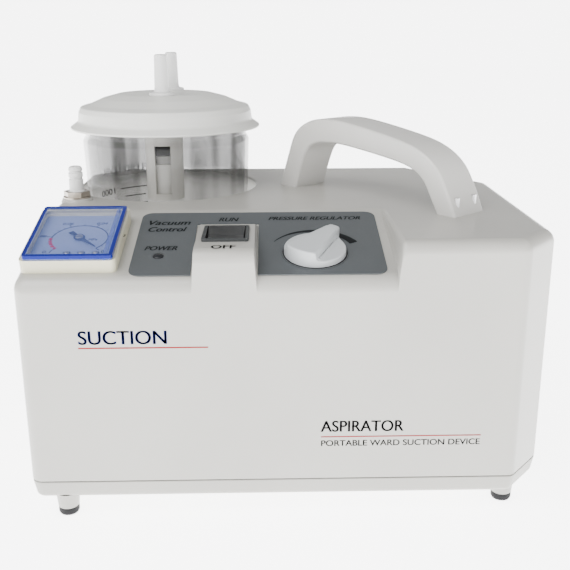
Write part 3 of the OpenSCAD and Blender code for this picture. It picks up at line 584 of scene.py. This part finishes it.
def lettering(name, lines, place, material, slot, body="housing"):
    """Flat letters: each line is (text, left, right, foot, height, slant), and place() carries x, y to
    the surface. Each is laid three times, a hair apart, for the weight of its strokes."""
    parts = []
    for text, left, wide, foot, tall, slant in lines:
        font = bpy.data.curves.new(name, "FONT")
        font.body = text
        font.shear = slant
        holder = bpy.data.objects.new(name + "_draft", font)
        bpy.context.collection.objects.link(holder)
        bpy.context.view_layer.update()
        drawn = bpy.data.meshes.new_from_object(holder.evaluated_get(bpy.context.evaluated_depsgraph_get()))
        flat = np.array([v.co[:2] for v in drawn.vertices])
        low, high = flat.min(0), flat.max(0)
        flat = (flat - low) / (high - low) * (wide - left, tall) + (left, foot)
        for shift in (-0.03, 0.0, 0.03):
            parts.append((place(flat[:, 0] + shift * tall, flat[:, 1]),
                          [list(p.vertices) for p in drawn.polygons]))
        bpy.data.objects.remove(holder)
    return mesh_piece(name, *joined(parts), material, body, slot)


PANEL_WORDS = [("RUN", -38.6, -27.4, 64.4, 4.4, 0.3), ("POWER", -76.6, -59.4, 31.2, 4.4, 0.3),
               ("PRESSURE REGULATOR", -10.6, 41.6, 65.6, 3.9, 0.35),
               ("Vacuum", -77.4, -54.4, 60.6, 5.2, 0.3), ("Control", -77.0, -56.0, 52.6, 5.2, 0.3)]
lettering("panel_words", PANEL_WORDS, lambda x, y: on_slope(x, y, FILM), dark_ink, "panel_grey")
lettering("off_word", [("OFF", -39.6, -27.6, FRONT + 4.6, 6.0, 0.0)],
          lambda x, y: np.stack([x, y, np.full(len(x), PODIUM[3] + 0.08)], -1), dark_ink, "panel_grey")


def arc_strip(centre, inner, outer, start, stop, steps, place):
    """A flat strip between two radii, each (at start, at stop), from angle to angle in degrees."""
    t = np.linspace(0, 1, steps)
    a = np.radians(start + (stop - start) * t)
    r = np.stack([inner[0] + (inner[1] - inner[0]) * t, outer[0] + (outer[1] - outer[0]) * t])
    x, y = centre[0] + r * np.cos(a), centre[1] + r * np.sin(a)
    return place(x.ravel(), y.ravel()), grid_faces(2, steps)


mesh_piece("knob_arc", *arc_strip((KNOB[0], KNOB_S), (24.6, 21.4), (24.9, 26.2), 150, 26, 48,
                                  lambda x, y: on_slope(x, y, FILM)), dark_ink, "housing", "panel_grey")

# ---- power lamp --------------------------------------------------------------------------------
# A small dark domed lens in the film, unlit.
lamp_lo, lamp_hi = corner_box("power_lamp")
lens = moulded("lamp_lens", (0.008, 0.009, 0.011), 0.3, grain=500.0, bump=0.03, Specular_IOR_Level=0.25)
LAMP = ((lamp_lo + lamp_hi)[0] / 2, 24.7)


def turned_on_slope(profile, x, s, steps=64):
    """A profile of (radius, height) turned about the slope's normal at (x, s)."""
    turn = np.linspace(0, 2 * math.pi, steps, endpoint=False)
    p = np.asarray(profile, float)
    pts = on_slope(x + p[:, :1] * np.cos(turn), s + p[:, :1] * np.sin(turn), np.repeat(p[:, 1:], steps, 1))
    return pts.reshape(-1, 3), grid_faces(len(p), steps, True)


dome = [(2.9 * math.cos(a), 0.5 + 1.1 * math.sin(a)) for a in np.radians([0, 15, 30, 45, 60, 75, 89.9])]
mesh_piece("lamp_dome", *turned_on_slope([(2.9, -0.2)] + dome, *LAMP, 48), lens, "housing", "lamp_dark",
           ("power_lamp",), flat=60)

# ---- rocker switch -----------------------------------------------------------------------------
# A dark grey bezel let into the podium and a rocker with a shallow V top, its far half up at rest.
# The bezel keeps its solid, and a small bevel catches the light along its edges; the rocker is built anew as a
# V-topped bar.
def dress(node, material, bevel=0.0):
    """Gives a CAD node its material and, if asked, a bevel of that width in mm."""
    part = frame["nodes"][node]
    part.data.materials.clear()
    part.data.materials.append(material.data)
    if bevel:
        edge = part.modifiers.new("edge", "BEVEL")
        edge.width = bevel / 1000
        edge.segments = 3
        edge.limit_method = "ANGLE"
        edge.angle_limit = math.radians(35)


bezel_skin = moulded("bezel_skin", (0.03, 0.033, 0.034), 0.45, grain=2200.0, bump=0.2,
                     Specular_IOR_Level=0.3)
rocker_skin = moulded("rocker_skin", (0.016, 0.017, 0.018), 0.36, grain=2200.0, bump=0.2,
                      Specular_IOR_Level=0.3)
dress("switch_bezel", bezel_skin, 0.35)


def rocker_mesh():
    """A V-topped bar: its side profile along y is carried across x, pulled in at both ends."""
    profile = fillet([(-13.0, 146.5, 0), (-13.0, 149.9, 0.6), (-0.6, 150.2, 3), (12.6, 152.5, 0.8),
                      (13.0, 146.5, 0)], False, 5)
    ends = np.array([(-10.0, 0.9), (-9.85, 0.45), (-9.5, 0.12), (-9.0, 0.0), (0.0, 0.25), (9.0, 0.0),
                     (9.5, 0.12), (9.85, 0.45), (10.0, 0.9)])
    rocker_lo, rocker_hi = corner_box("switch_rocker")
    mid = (rocker_lo + rocker_hi) / 2
    y = np.clip(profile[:, 0], -12.9, 12.9)[None, :] * (1 - ends[:, 1:] / 26) + mid[1]
    z = profile[:, 1][None, :] - ends[:, 1:] * (profile[:, 1] > 148)[None, :]
    x = np.repeat(ends[:, :1] + mid[0], len(profile), 1)
    n = len(profile)
    faces = grid_faces(len(ends), n, True).tolist() + [list(range(n)),
                                                       list(range((len(ends) - 1) * n, len(ends) * n))]
    return np.stack([x, y, z], -1).reshape(-1, 3), faces


mesh_piece("rocker_cap", *rocker_mesh(), rocker_skin, "switch_rocker", "switch_black", ("switch_rocker",),
           flat=40)

# ---- regulator knob ----------------------------------------------------------------------------
# Pale moulded knob: a low disc, and on it a wedge that starts as the disc's own rim and narrows to a
# pointer that overhangs the rim. Its sides flare where they meet the disc.
POINT = math.radians(53.5)
KNOB_TOP, KNOB_R = 9.5, 16.4


def knob_mesh():
    """Wedge half width, 9.4 at the heel to 3.2 at the tip; z rises to the top by a flank ramp."""
    turn = np.linspace(0, 2 * math.pi, 160, endpoint=False)
    radii = KNOB_R * np.concatenate([[0.001], np.linspace(0.04, 0.94, 44), [0.965, 0.985, 0.996, 1.0]])
    a = radii[:, None] * np.cos(turn)
    b = radii[:, None] * np.sin(turn)
    half = 9.4 - 6.2 * (a + 13.2) / 32.8
    side = np.clip((half + 0.8 - np.abs(b)) / 1.5, 0, 1)
    flare = 1.5 * np.exp(-np.clip(np.abs(b) - half - 0.7, 0, 20) / 1.1)
    disc = 3.9 + flare * (np.abs(b) > half + 0.7)
    top = KNOB_TOP - 0.5 * (b / np.maximum(half, 1)) ** 2
    z = disc + (top - disc) * smooth(side)
    z = z - drop(KNOB_R - np.hypot(a, b), 0.9)
    low = np.stack([KNOB_R * np.cos(turn), KNOB_R * np.sin(turn), np.full(len(turn), 0.7)], -1)
    under = np.stack([15.6 * np.cos(turn), 15.6 * np.sin(turn), np.full(len(turn), 0.65)], -1)
    pts = np.concatenate([np.stack([a, b, z], -1).reshape(-1, 3), low, under])
    x = KNOB[0] + pts[:, 0] * math.cos(POINT) - pts[:, 1] * math.sin(POINT)
    s = KNOB_S + pts[:, 0] * math.sin(POINT) + pts[:, 1] * math.cos(POINT)
    return on_slope(x, s, pts[:, 2]), grid_faces(len(radii) + 2, len(turn), True)


def knob_tip():
    """The pointer's overhang: stations along it, each a rounded five-sided section, closed at the end."""
    stations = np.array([10.0, 14.0, 17.0, 18.8, 19.5])
    width = np.array([5.0, 4.2, 3.65, 3.2, 2.3])
    sink = np.array([0.5, 0.5, 0.55, 0.7, 1.2])
    v = np.array([-1.0, -1.0, -0.97, -0.85, -0.5, 0, 0.5, 0.85, 0.97, 1.0, 1.0])
    w = np.array([0.9, 7.4, 8.6, 9.25, 9.5, 9.55, 9.5, 9.25, 8.6, 7.4, 0.9])
    a = np.repeat(stations[:, None], len(v), 1)
    b = width[:, None] * v
    z = np.where(w > 5, w - sink[:, None], w)
    x = KNOB[0] + a * math.cos(POINT) - b * math.sin(POINT)
    s = KNOB_S + a * math.sin(POINT) + b * math.cos(POINT)
    faces = grid_faces(len(stations), len(v), True).tolist()
    faces += [list(range(len(v))), list(range((len(stations) - 1) * len(v), len(stations) * len(v)))]
    return on_slope(x, s, z).reshape(-1, 3), faces


knob_skin = moulded("knob_skin", (0.37, 0.385, 0.395), 0.42, grain=1800.0, bump=0.18)
mesh_piece("knob_disc", *knob_mesh(), knob_skin, "regulator_knob", "knob_pale", ("regulator_knob",), flat=65)
mesh_piece("knob_pointer", *knob_tip(), knob_skin, "regulator_knob", "knob_pale", flat=55)
# painted shadow: a dark disc under the knob's rim stands in for the shade beneath the knob
ring_shadow = moulded("knob_gap", (0.012, 0.013, 0.015), 0.7)
mesh_piece("knob_gap", *turned_on_slope([(17.3, 0.56), (15.0, 0.4), (3.5, 0.35)], KNOB[0], KNOB_S, 96),
           ring_shadow, "housing", "panel_grey")

# ---- vacuum gauge ------------------------------------------------------------------------------
# A cream case with a printed dial under a clear lens whose edges pipe a strong blue. The scale, its
# red end and the figures are ink on the dial; the pointer rests on nought.
dial_joint = joint("pointer_sweep")
DIAL = np.array(dial_joint["pos_m"], float) * 1000
DIAL_AT = (DIAL[0], (DIAL[1] - FRONT) / math.cos(SLOPE))
PLATE = 5.4
PRINT = PLATE + 0.06
ZERO, SWEEP = -46.0, 272.0
dress("gauge_base", moulded("gauge_cream", (0.47, 0.45, 0.33), 0.4, grain=900.0, bump=0.12), 1.2)
dial_face = moulded("dial_face", (0.20, 0.245, 0.43), 0.45, grain=2500.0, bump=0.05)
upward = dial_face.place.split()[1].ramp(-0.105, -0.055)
dial_face.set("Base Color", upward.mix((0.155, 0.195, 0.35, 1), (0.205, 0.25, 0.385, 1)))
COVER_LO, COVER_HI = corner_box("gauge_cover")
COVER_X, COVER_W, COVER_S, COVER_L = (COVER_LO + COVER_HI)[0] / 2, (COVER_HI - COVER_LO)[0] / 2, 37.1, 28.4
plate = fillet([(COVER_X - COVER_W + 1.4, COVER_S - COVER_L + 1.4, 1.5),
                (COVER_X + COVER_W - 1.4, COVER_S - COVER_L + 1.4, 1.5),
                (COVER_X + COVER_W - 1.4, COVER_S + COVER_L - 1.4, 1.5),
                (COVER_X - COVER_W + 1.4, COVER_S + COVER_L - 1.4, 1.5)])
sunk = [on_slope(*plate.T, h) for h in (7.35, PLATE)]
mesh_piece("dial_plate", np.concatenate(sunk), grid_faces(2, len(plate), True).tolist()
           + [list(range(len(plate), 2 * len(plate)))], dial_face, "housing", "dial_blue", ("gauge_dial",),
           flat=40)


def dial_place(x, y):
    return on_slope(DIAL_AT[0] + x, DIAL_AT[1] + y, PRINT)


scale = [arc_strip((0, 0), (14.6, 14.6), (15.2, 15.2), ZERO, ZERO + SWEEP, 72, dial_place)]
for k in range(21):
    angle = ZERO + SWEEP * k / 20
    length = 2.8 if k % 4 == 0 else (2.0 if k % 2 == 0 else 1.2)
    turn_out = 0.9 if k % 4 == 0 else 0.6
    scale.append(arc_strip((0, 0), (15.0, 15.0), (15.0 + length,) * 2, angle - turn_out, angle + turn_out, 3,
                           dial_place))
mesh_piece("dial_scale", *joined(scale), dark_ink, "housing", "dial_blue")
red_ink = moulded("red_ink", (0.40, 0.006, 0.006), 0.5, grain=2500.0, bump=0.05, Specular_IOR_Level=0.1)
red = [arc_strip((0, 0), (14.2, 14.2), (16.1, 16.1), ZERO + SWEEP * a, ZERO + SWEEP * b, 8,
                 lambda x, y: dial_place(x, y) + NORMAL * 0.04) for a,
       b in ((0.82, 0.85), (0.86, 0.89), (0.90, 0.93), (0.94, 0.97), (0.98, 1.0))]
mesh_piece("dial_red", *joined(red), red_ink, "housing", "dial_blue")
figures = [("0", 0), ("0.02", 4), ("0.04", 8), ("0.06", 12), ("0.08", 16), ("0.1", 20)]
words = []
for text, k in figures:
    angle = math.radians(ZERO + SWEEP * k / 20)
    reach = 19.6 + 1.6 * abs(math.cos(angle))
    w = 1.45 * len(text)
    cx, cy = reach * math.cos(angle), (reach - 0.8) * math.sin(angle)
    words.append((text, cx - w / 2, cx + w / 2, cy - 1.2, 2.6, 0.1))
words.append(("MPa", 5.0, 9.6, -2.2, 2.4, 0.1))
lettering("dial_figures", words, dial_place, dark_ink, "dial_blue")

lens_blue = Material("gauge_lens", Roughness=0.05, IOR=1.49, Specular_IOR_Level=0.15)
along, up_y, up_z = lens_blue.place.split()
rise = (up_z - LOW / 1000) * math.cos(SLOPE) - (up_y - FRONT / 1000) * math.sin(SLOPE)
reach_up = (up_y - FRONT / 1000) * math.cos(SLOPE) + (up_z - LOW / 1000) * math.sin(SLOPE) - COVER_S / 1000
aside = along - COVER_X / 1000
rim = aside.math("ABSOLUTE", aside) - COVER_W / 1000
end = reach_up.math("ABSOLUTE", reach_up) - COVER_L / 1000
near = rim.math("MAXIMUM", rim, end).ramp(-0.0025, -0.0016)
second = aside - (COVER_W / 1000 - 0.0042)
line = 1.0 - second.math("ABSOLUTE", second).ramp(0.0005, 0.0009)
edge_glow = near.math("MAXIMUM", near * rise.ramp(0.0078, 0.0086), line * 0.6)
streak = lens_blue.place.noise(24.0)
lens_blue.set("Base Color", edge_glow.mix((0.15, 0.22, 0.55, 1), (0.0005, 0.006, 0.14, 1)))
cover = 0.10 + 0.10 * streak + 0.92 * edge_glow
lens_blue.set("Alpha", cover.math("MINIMUM", cover, 1.0))
dress("gauge_cover", lens_blue)

metal_bright = Material("metal_bright", Metallic=1.0)
mottle = metal_bright.place.noise(160.0)
metal_bright.set("Base Color", mottle.mix((0.16, 0.16, 0.165, 1), (0.36, 0.36, 0.37, 1)))
metal_bright.set("Roughness", 0.22 + 0.16 * metal_bright.place.noise(900.0))
pointer_ink = moulded("pointer_ink", (0.003, 0.003, 0.004), 0.4, grain=2000.0, bump=0.05,
                      Specular_IOR_Level=0.1)


def needle():
    """The pointer blank: a broad tail, a round eye and a tapering needle, 0.35 thick."""
    half = [(-8.0, 1.5), (-3.2, 1.0), (-2.6, 2.0), (-1.2, 2.9), (1.2, 2.9), (2.6, 1.9), (3.4, 1.0),
            (14.6, 0.22)]
    flat = np.array(half + [(a, -b) for a, b in half[::-1]])
    turn = math.radians(ZERO)
    x = DIAL_AT[0] + flat[:, 0] * math.cos(turn) - flat[:, 1] * math.sin(turn)
    y = DIAL_AT[1] + flat[:, 0] * math.sin(turn) + flat[:, 1] * math.cos(turn)
    n = len(flat)
    faces = grid_faces(2, n, True).tolist() + [list(range(n)), list(range(n, 2 * n))]
    return np.concatenate([on_slope(x, y, PLATE + 0.9), on_slope(x, y, PLATE + 1.25)]), faces


mesh_piece("needle", *needle(), pointer_ink, "gauge_pointer", "pointer_black", ("gauge_pointer",), flat=30)
hub = fillet([(2.1, PLATE + 1.1, 0), (2.1, PLATE + 1.65, 0.25), (0.02, PLATE + 1.8, 0)], False)
mesh_piece("pointer_hub", *turned_on_slope([(1.0, PLATE + 0.1)] + hub.tolist(), *DIAL_AT, 40), metal_bright,
           "gauge_pointer", "screw_steel", flat=50)
for number, x in enumerate((-114.7, -107.3, -99.9)):
    # painted shadow: a dark disc under each screw head stands in for the shade around it
    mesh_piece(f"dial_screw_shadow_{number}", *turned_on_slope([(2.0, PLATE + 0.05), (1.9, PLATE + 0.3),
                                                          (0.02, PLATE + 0.35)], x, 20.0, 32), pointer_ink,
               "housing", "screw_steel", flat=50)
    head = fillet([(1.5, PLATE, 0), (1.5, PLATE + 0.5, 0.2), (0.9, PLATE + 0.85, 0.3),
                   (0.02, PLATE + 0.95, 0)], False)
    mesh_piece(f"dial_screw_{number}", *turned_on_slope(head, x, 20.0, 32), metal_bright, "housing",
               "screw_steel", ("gauge_screws",) if number == 0 else (), flat=50)

# ---- collection jar ----------------------------------------------------------------------------
# A clear tapered jar in its well, seen through: thin walls, a necked top, and a scale printed on the
# far side of the wall, so that it reads from behind.
jar_clear = Material("jar_clear", IOR=1.45, Specular_IOR_Level=0.4)
upright = jar_clear.place.node("VectorMath", {"operation": "MULTIPLY"},
                               {0: jar_clear.place, 1: (1.0, 1.0, 0.05)})
# painted reflections: the glass's grey tone and its cloudiness wander in soft vertical bands, and are stronger on
# the far side of the jar than the near
bands = upright.noise(55.0, 1.0).ramp(0.46, 0.60)
far_side = jar_clear.place.split()[1].ramp(0.02, 0.08)
jar_clear.set("Roughness", 0.04 + 0.05 * jar_clear.place.noise(25.0))
tone = bands.mix((0.30, 0.30, 0.295, 1), (0.16, 0.158, 0.15, 1))
jar_clear.set("Base Color", far_side.mix((0.035, 0.035, 0.035, 1), tone))
# painted light: above the deck the glass is made greyer and less clear, so that it stays clearer where the lit
# well shows through it
above = jar_clear.place.split()[2].ramp(0.140, 0.162)
near_wall = 0.05 + 0.06 * bands + above * (0.14 + 0.01 * bands)
jar_clear.set("Alpha", near_wall + far_side * (0.08 + 0.12 * bands + above * (0.36 + 0.05 * bands)))


def jar_radius(z):
    return 54.6 - 0.036 * (185 - z)


jar_path = fillet([(0.02, 23, 0), (47.4, 23, 3), (jar_radius(30), 30, 0), (54.6, 185, 1.5),
                   (52.6, 188.5, 1.0), (52.6, 199, 0.5), (50.2, 199, 0.5), (50.2, 188, 1.0),
                   (52.1, 184, 1.5), (jar_radius(32) - 2.2, 32, 0), (44.6, 25.6, 3), (0.02, 25.6, 0)], False)
mesh_piece("jar_wall", *lathe(jar_path, JAR, 144), jar_clear, "jar", "jar_clear", ("collection_jar",),
           flat=60)
print_grey = moulded("print_grey", (0.012, 0.012, 0.013), 0.5, grain=2000.0, bump=0.05,
                     Specular_IOR_Level=0.1)


def on_jar(angle, u, z):
    """Points on the jar's inner face: u to the reader's right from a bearing, at height z."""
    r = jar_radius(z) - 2.5
    turn = math.radians(angle) + u / 50
    return np.stack([JAR[0] + r * np.cos(turn), JAR[1] + r * np.sin(turn), z], -1)


ticks = []
for k in range(19):
    z0 = 144.4 - 5.9 * k
    reach = 21.0 if k % 2 == 0 else 16.5
    u = np.linspace(-reach / 2, reach / 2, 9)
    ticks.append((np.concatenate([on_jar(127 - 0.3 * (21.0 - reach), u, np.full(9, z0)),
                                  on_jar(127 - 0.3 * (21.0 - reach), u, np.full(9, z0 + 0.75))]),
                  grid_faces(2, 9)))
mesh_piece("jar_scale", *joined(ticks), print_grey, "jar", "jar_clear")
lettering("jar_figures", [(str(1000 - 200 * k), -7.5, 7.5, 142.2 - 23.6 * k, 4.2, 0.0) for k in range(5)],
          lambda x, y: on_jar(154, x, y), print_grey, "jar_clear", body="jar")
lettering("jar_word", [("FLUID LEVEL", -20, 20, 156.5, 4.6, 0.0)], lambda x, y: on_jar(136, x, y),
          print_grey, "jar_clear", body="jar")

# ---- lid, ports and float valve ----------------------------------------------------------------
# White lid with a dished dome, a straight skirt and a thin flared rim; two straight hose ports stand
# on its crown, and the float cage hangs inside, with the black seal showing in its slot.
lid_skin = moulded("lid_skin", (0.50, 0.50, 0.475), 0.4, grain=1100.0, bump=0.08, Coat_Weight=0.08)
lid_path = fillet([(0.02, 214.5, 0), (30, 214.5, 10), (40, 211.9, 14), (48.6, 208.2, 8), (54.6, 206.6, 2),
                   (56.1, 203.5, 1.6), (56.8, 197.4, 3), (61.7, 194.0, 0.6), (61.5, 192.7, 0.4),
                   (57.2, 194.6, 1.5), (53.5, 195, 0.6), (53.5, 201.4, 0.6), (48.5, 205.4, 4),
                   (33, 211.6, 6), (0.02, 211.8, 0)], False)
mesh_piece("lid_shell", *lathe(lid_path, JAR, 144), lid_skin, "lid", "lid_white", ("jar_lid",), flat=65)
port_skin = moulded("port_skin", (0.54, 0.54, 0.53), 0.36, grain=1100.0, bump=0.08)
for node in ("lid_vacuum_port", "lid_patient_port"):
    low, high = corner_box(node)
    top = high[2]
    shape = fillet([(2.6, low[2], 0), (4, low[2], 0.3), (4, 214.3, 0), (8, 214.5, 0), (8, 216.0, 0.8),
                    (4.9, 216.7, 0.8), (4.5, 219, 2), (3.95, top, 1.3), (2.6, top, 0.5), (2.6, top - 12, 0),
                    (0.02, top - 12, 0)], False)
    mesh_piece(node.replace("lid_", "") + "_tube", *lathe(shape, (low + high)[:2] / 2, 64), port_skin, "lid",
               "port_white", (node,), flat=60)
cage_skin = moulded("cage_skin", (0.66, 0.645, 0.60), 0.35, grain=900.0, bump=0.06)
dress("float_cage", cage_skin, 0.4)
CAGE = (corner_box("float_cage")[0] + corner_box("float_cage")[1])[:2] / 2
collar = fillet([(9.6, 183.6, 0.3), (12.1, 183.6, 0.5), (12.1, 207.6, 0.3), (9.6, 207.6, 0.3),
                 (9.6, 183.6, 0)], False)
mesh_piece("cage_collar", *lathe(collar, CAGE, 72), cage_skin, "lid", "port_white", flat=50)
FLOAT = (corner_box("float_body")[0] + corner_box("float_body")[1])[:2] / 2
float_skin = moulded("float_skin", (0.72, 0.71, 0.67), 0.45)
barrel = fillet([(0.02, 151.8, 0), (8.5, 151.8, 0.8), (8.5, 171.6, 0.5), (0.02, 171.6, 0)], False)
mesh_piece("float_barrel", *lathe(barrel, FLOAT, 64), float_skin, "float", "float_white", ("float_body",),
           flat=50)
ring_skin = moulded("ring_skin", (0.36, 0.355, 0.34), 0.4)
float_neck = fillet([(0.02, 171.6, 0), (7.6, 171.6, 0.3), (7.6, 172.3, 0), (8.2, 172.5, 0.3),
                     (8.2, 176.9, 0.4), (0.02, 177.1, 0)], False)
mesh_piece("float_collar", *lathe(float_neck, FLOAT, 64), ring_skin, "float", "ring_grey", ("float_ring",),
           flat=50)
rubber = moulded("rubber", (0.005, 0.005, 0.006), 0.62, grain=1500.0, bump=0.25, Specular_IOR_Level=0.2)
seal = fillet([(0.02, 177.1, 0), (8.3, 177.1, 0.3), (8.3, 181.6, 1.0), (6.0, 183.0, 0.4), (0.02, 183.0, 0)],
              False)
mesh_piece("seal_cap", *lathe(seal, FLOAT, 64), rubber, "float", "rubber_black", ("float_seal",), flat=50)

# ---- deck nozzle -------------------------------------------------------------------------------
# The vacuum outlet: a white turned nozzle with two ring grooves and a round tip, held by a
# nickel-plated hex nut.
nozzle_path = fillet([(1.4, 150, 0), (5, 150, 0), (5, 160.2, 0.4), (4.3, 160.4, 0.3), (4.3, 167.2, 0.2),
                      (3.75, 167.6, 0), (3.75, 168.3, 0), (4.3, 168.7, 0.2), (4.3, 171.2, 0.2),
                      (3.75, 171.5, 0), (3.75, 172.2, 0), (4.25, 172.6, 0.3), (4.0, 175.2, 2.0),
                      (1.4, 175.3, 0.4), (1.4, 168, 0), (0.02, 168, 0)], False)
mesh_piece("nozzle_turned", *lathe(nozzle_path, NOZZLE, 64), port_skin, "housing", "port_white",
           ("vacuum_nozzle",), flat=50)
nickel = Material("nickel", Metallic=1.0)
nickel.set("Base Color", nickel.place.noise(220.0).mix((0.26, 0.22, 0.18, 1), (0.48, 0.44, 0.39, 1)))
nickel.set("Roughness", 0.2 + 0.22 * nickel.place.noise(700.0))
dress("nozzle_nut", nickel, 0.4)

# ---- front marks -------------------------------------------------------------------------------
# Plain generic printing on the front wall: a blue word over a red line at upper left, and dark words
# about a red rule at lower right.
blue_ink = moulded("blue_ink", (0.001, 0.009, 0.12), 0.45, grain=2500.0, bump=0.05, Specular_IOR_Level=0.15)
rule_ink = moulded("rule_ink", (0.20, 0.002, 0.006), 0.45, grain=2500.0, bump=0.05, Specular_IOR_Level=0.15)
grey_ink = moulded("grey_ink", (0.012, 0.012, 0.015), 0.45, grain=2500.0, bump=0.05, Specular_IOR_Level=0.15)


def on_front(x, z):
    x, z = np.broadcast_arrays(np.asarray(x, float), np.asarray(z, float))
    return np.stack([x, np.full(x.shape, FRONT + 0.04), z], -1)


def bar(x0, x1, z0, z1):
    return on_front([x0, x1, x1, x0], [z0, z0, z1, z1]), [[0, 1, 2, 3]]


lettering("front_word", [("SUCTION", -108.0, -63.2, 101.2, 7.4, 0.0)], on_front, blue_ink, "housing_white")
mesh_piece("front_line", *bar(-108.4, -42.1, 98.9, 99.6), rule_ink, "housing", "housing_white")
lettering("front_words", [("ASPIRATOR", 16.2, 60.0, 50.4, 6.4, 0.0),
                          ("PORTABLE WARD SUCTION DEVICE", 16.4, 101.2, 42.0, 3.4, 0.0)], on_front, grey_ink,
          "housing_white")
mesh_piece("front_rule", *bar(16.2, 101.6, 47.2, 47.8), rule_ink, "housing", "housing_white")

# ---- feet, rear and inner parts ----------------------------------------------------------------
# Rubber pads, the mains inlet, and the pump and motor inside: each keeps its solid and takes the
# finish of its metal, rubber or plastic.
def metal(name, colour, rough, scale=400.0):
    m = Material(name, Metallic=1.0)
    m.set("Base Color", m.place.noise(60.0).mix(shade(colour, 0.85), shade(colour, 1.08)))
    m.set("Roughness", rough - 0.08 + 0.2 * m.place.noise(scale))
    return m.bump(m.place.noise(scale * 3), 0.1, 0.0002)


cast = metal("cast_alloy", (0.56, 0.57, 0.58), 0.5, 250.0)
steel = metal("bright_steel", (0.68, 0.68, 0.69), 0.3)
brass = metal("brass", (0.70, 0.53, 0.24), 0.32)
copper = metal("copper_wire", (0.62, 0.28, 0.13), 0.35, 900.0)
lamination = metal("lamination", (0.30, 0.31, 0.33), 0.55, 800.0)
black = moulded("black_plastic", (0.03, 0.03, 0.032), 0.45, grain=1200.0, bump=0.15)
silicone = moulded("silicone", (0.62, 0.64, 0.61), 0.4, grain=300.0, bump=0.05)
finishes = {"rubber_black": rubber, "screw_steel": steel, "black_plastic": black, "fan_black": black,
            "brass": brass, "cast_alloy": cast, "bright_steel": steel, "plate_steel": steel,
            "stator_steel": lamination, "copper": copper, "hose_clear": silicone, "nickel": nickel,}
dressed = {"float_seal", "nozzle_nut"}
for entry in frame["record"]["subparts"]:
    if entry["material_slot"] in finishes and entry["node"] not in dressed:
        dress(entry["node"], finishes[entry["material_slot"]])
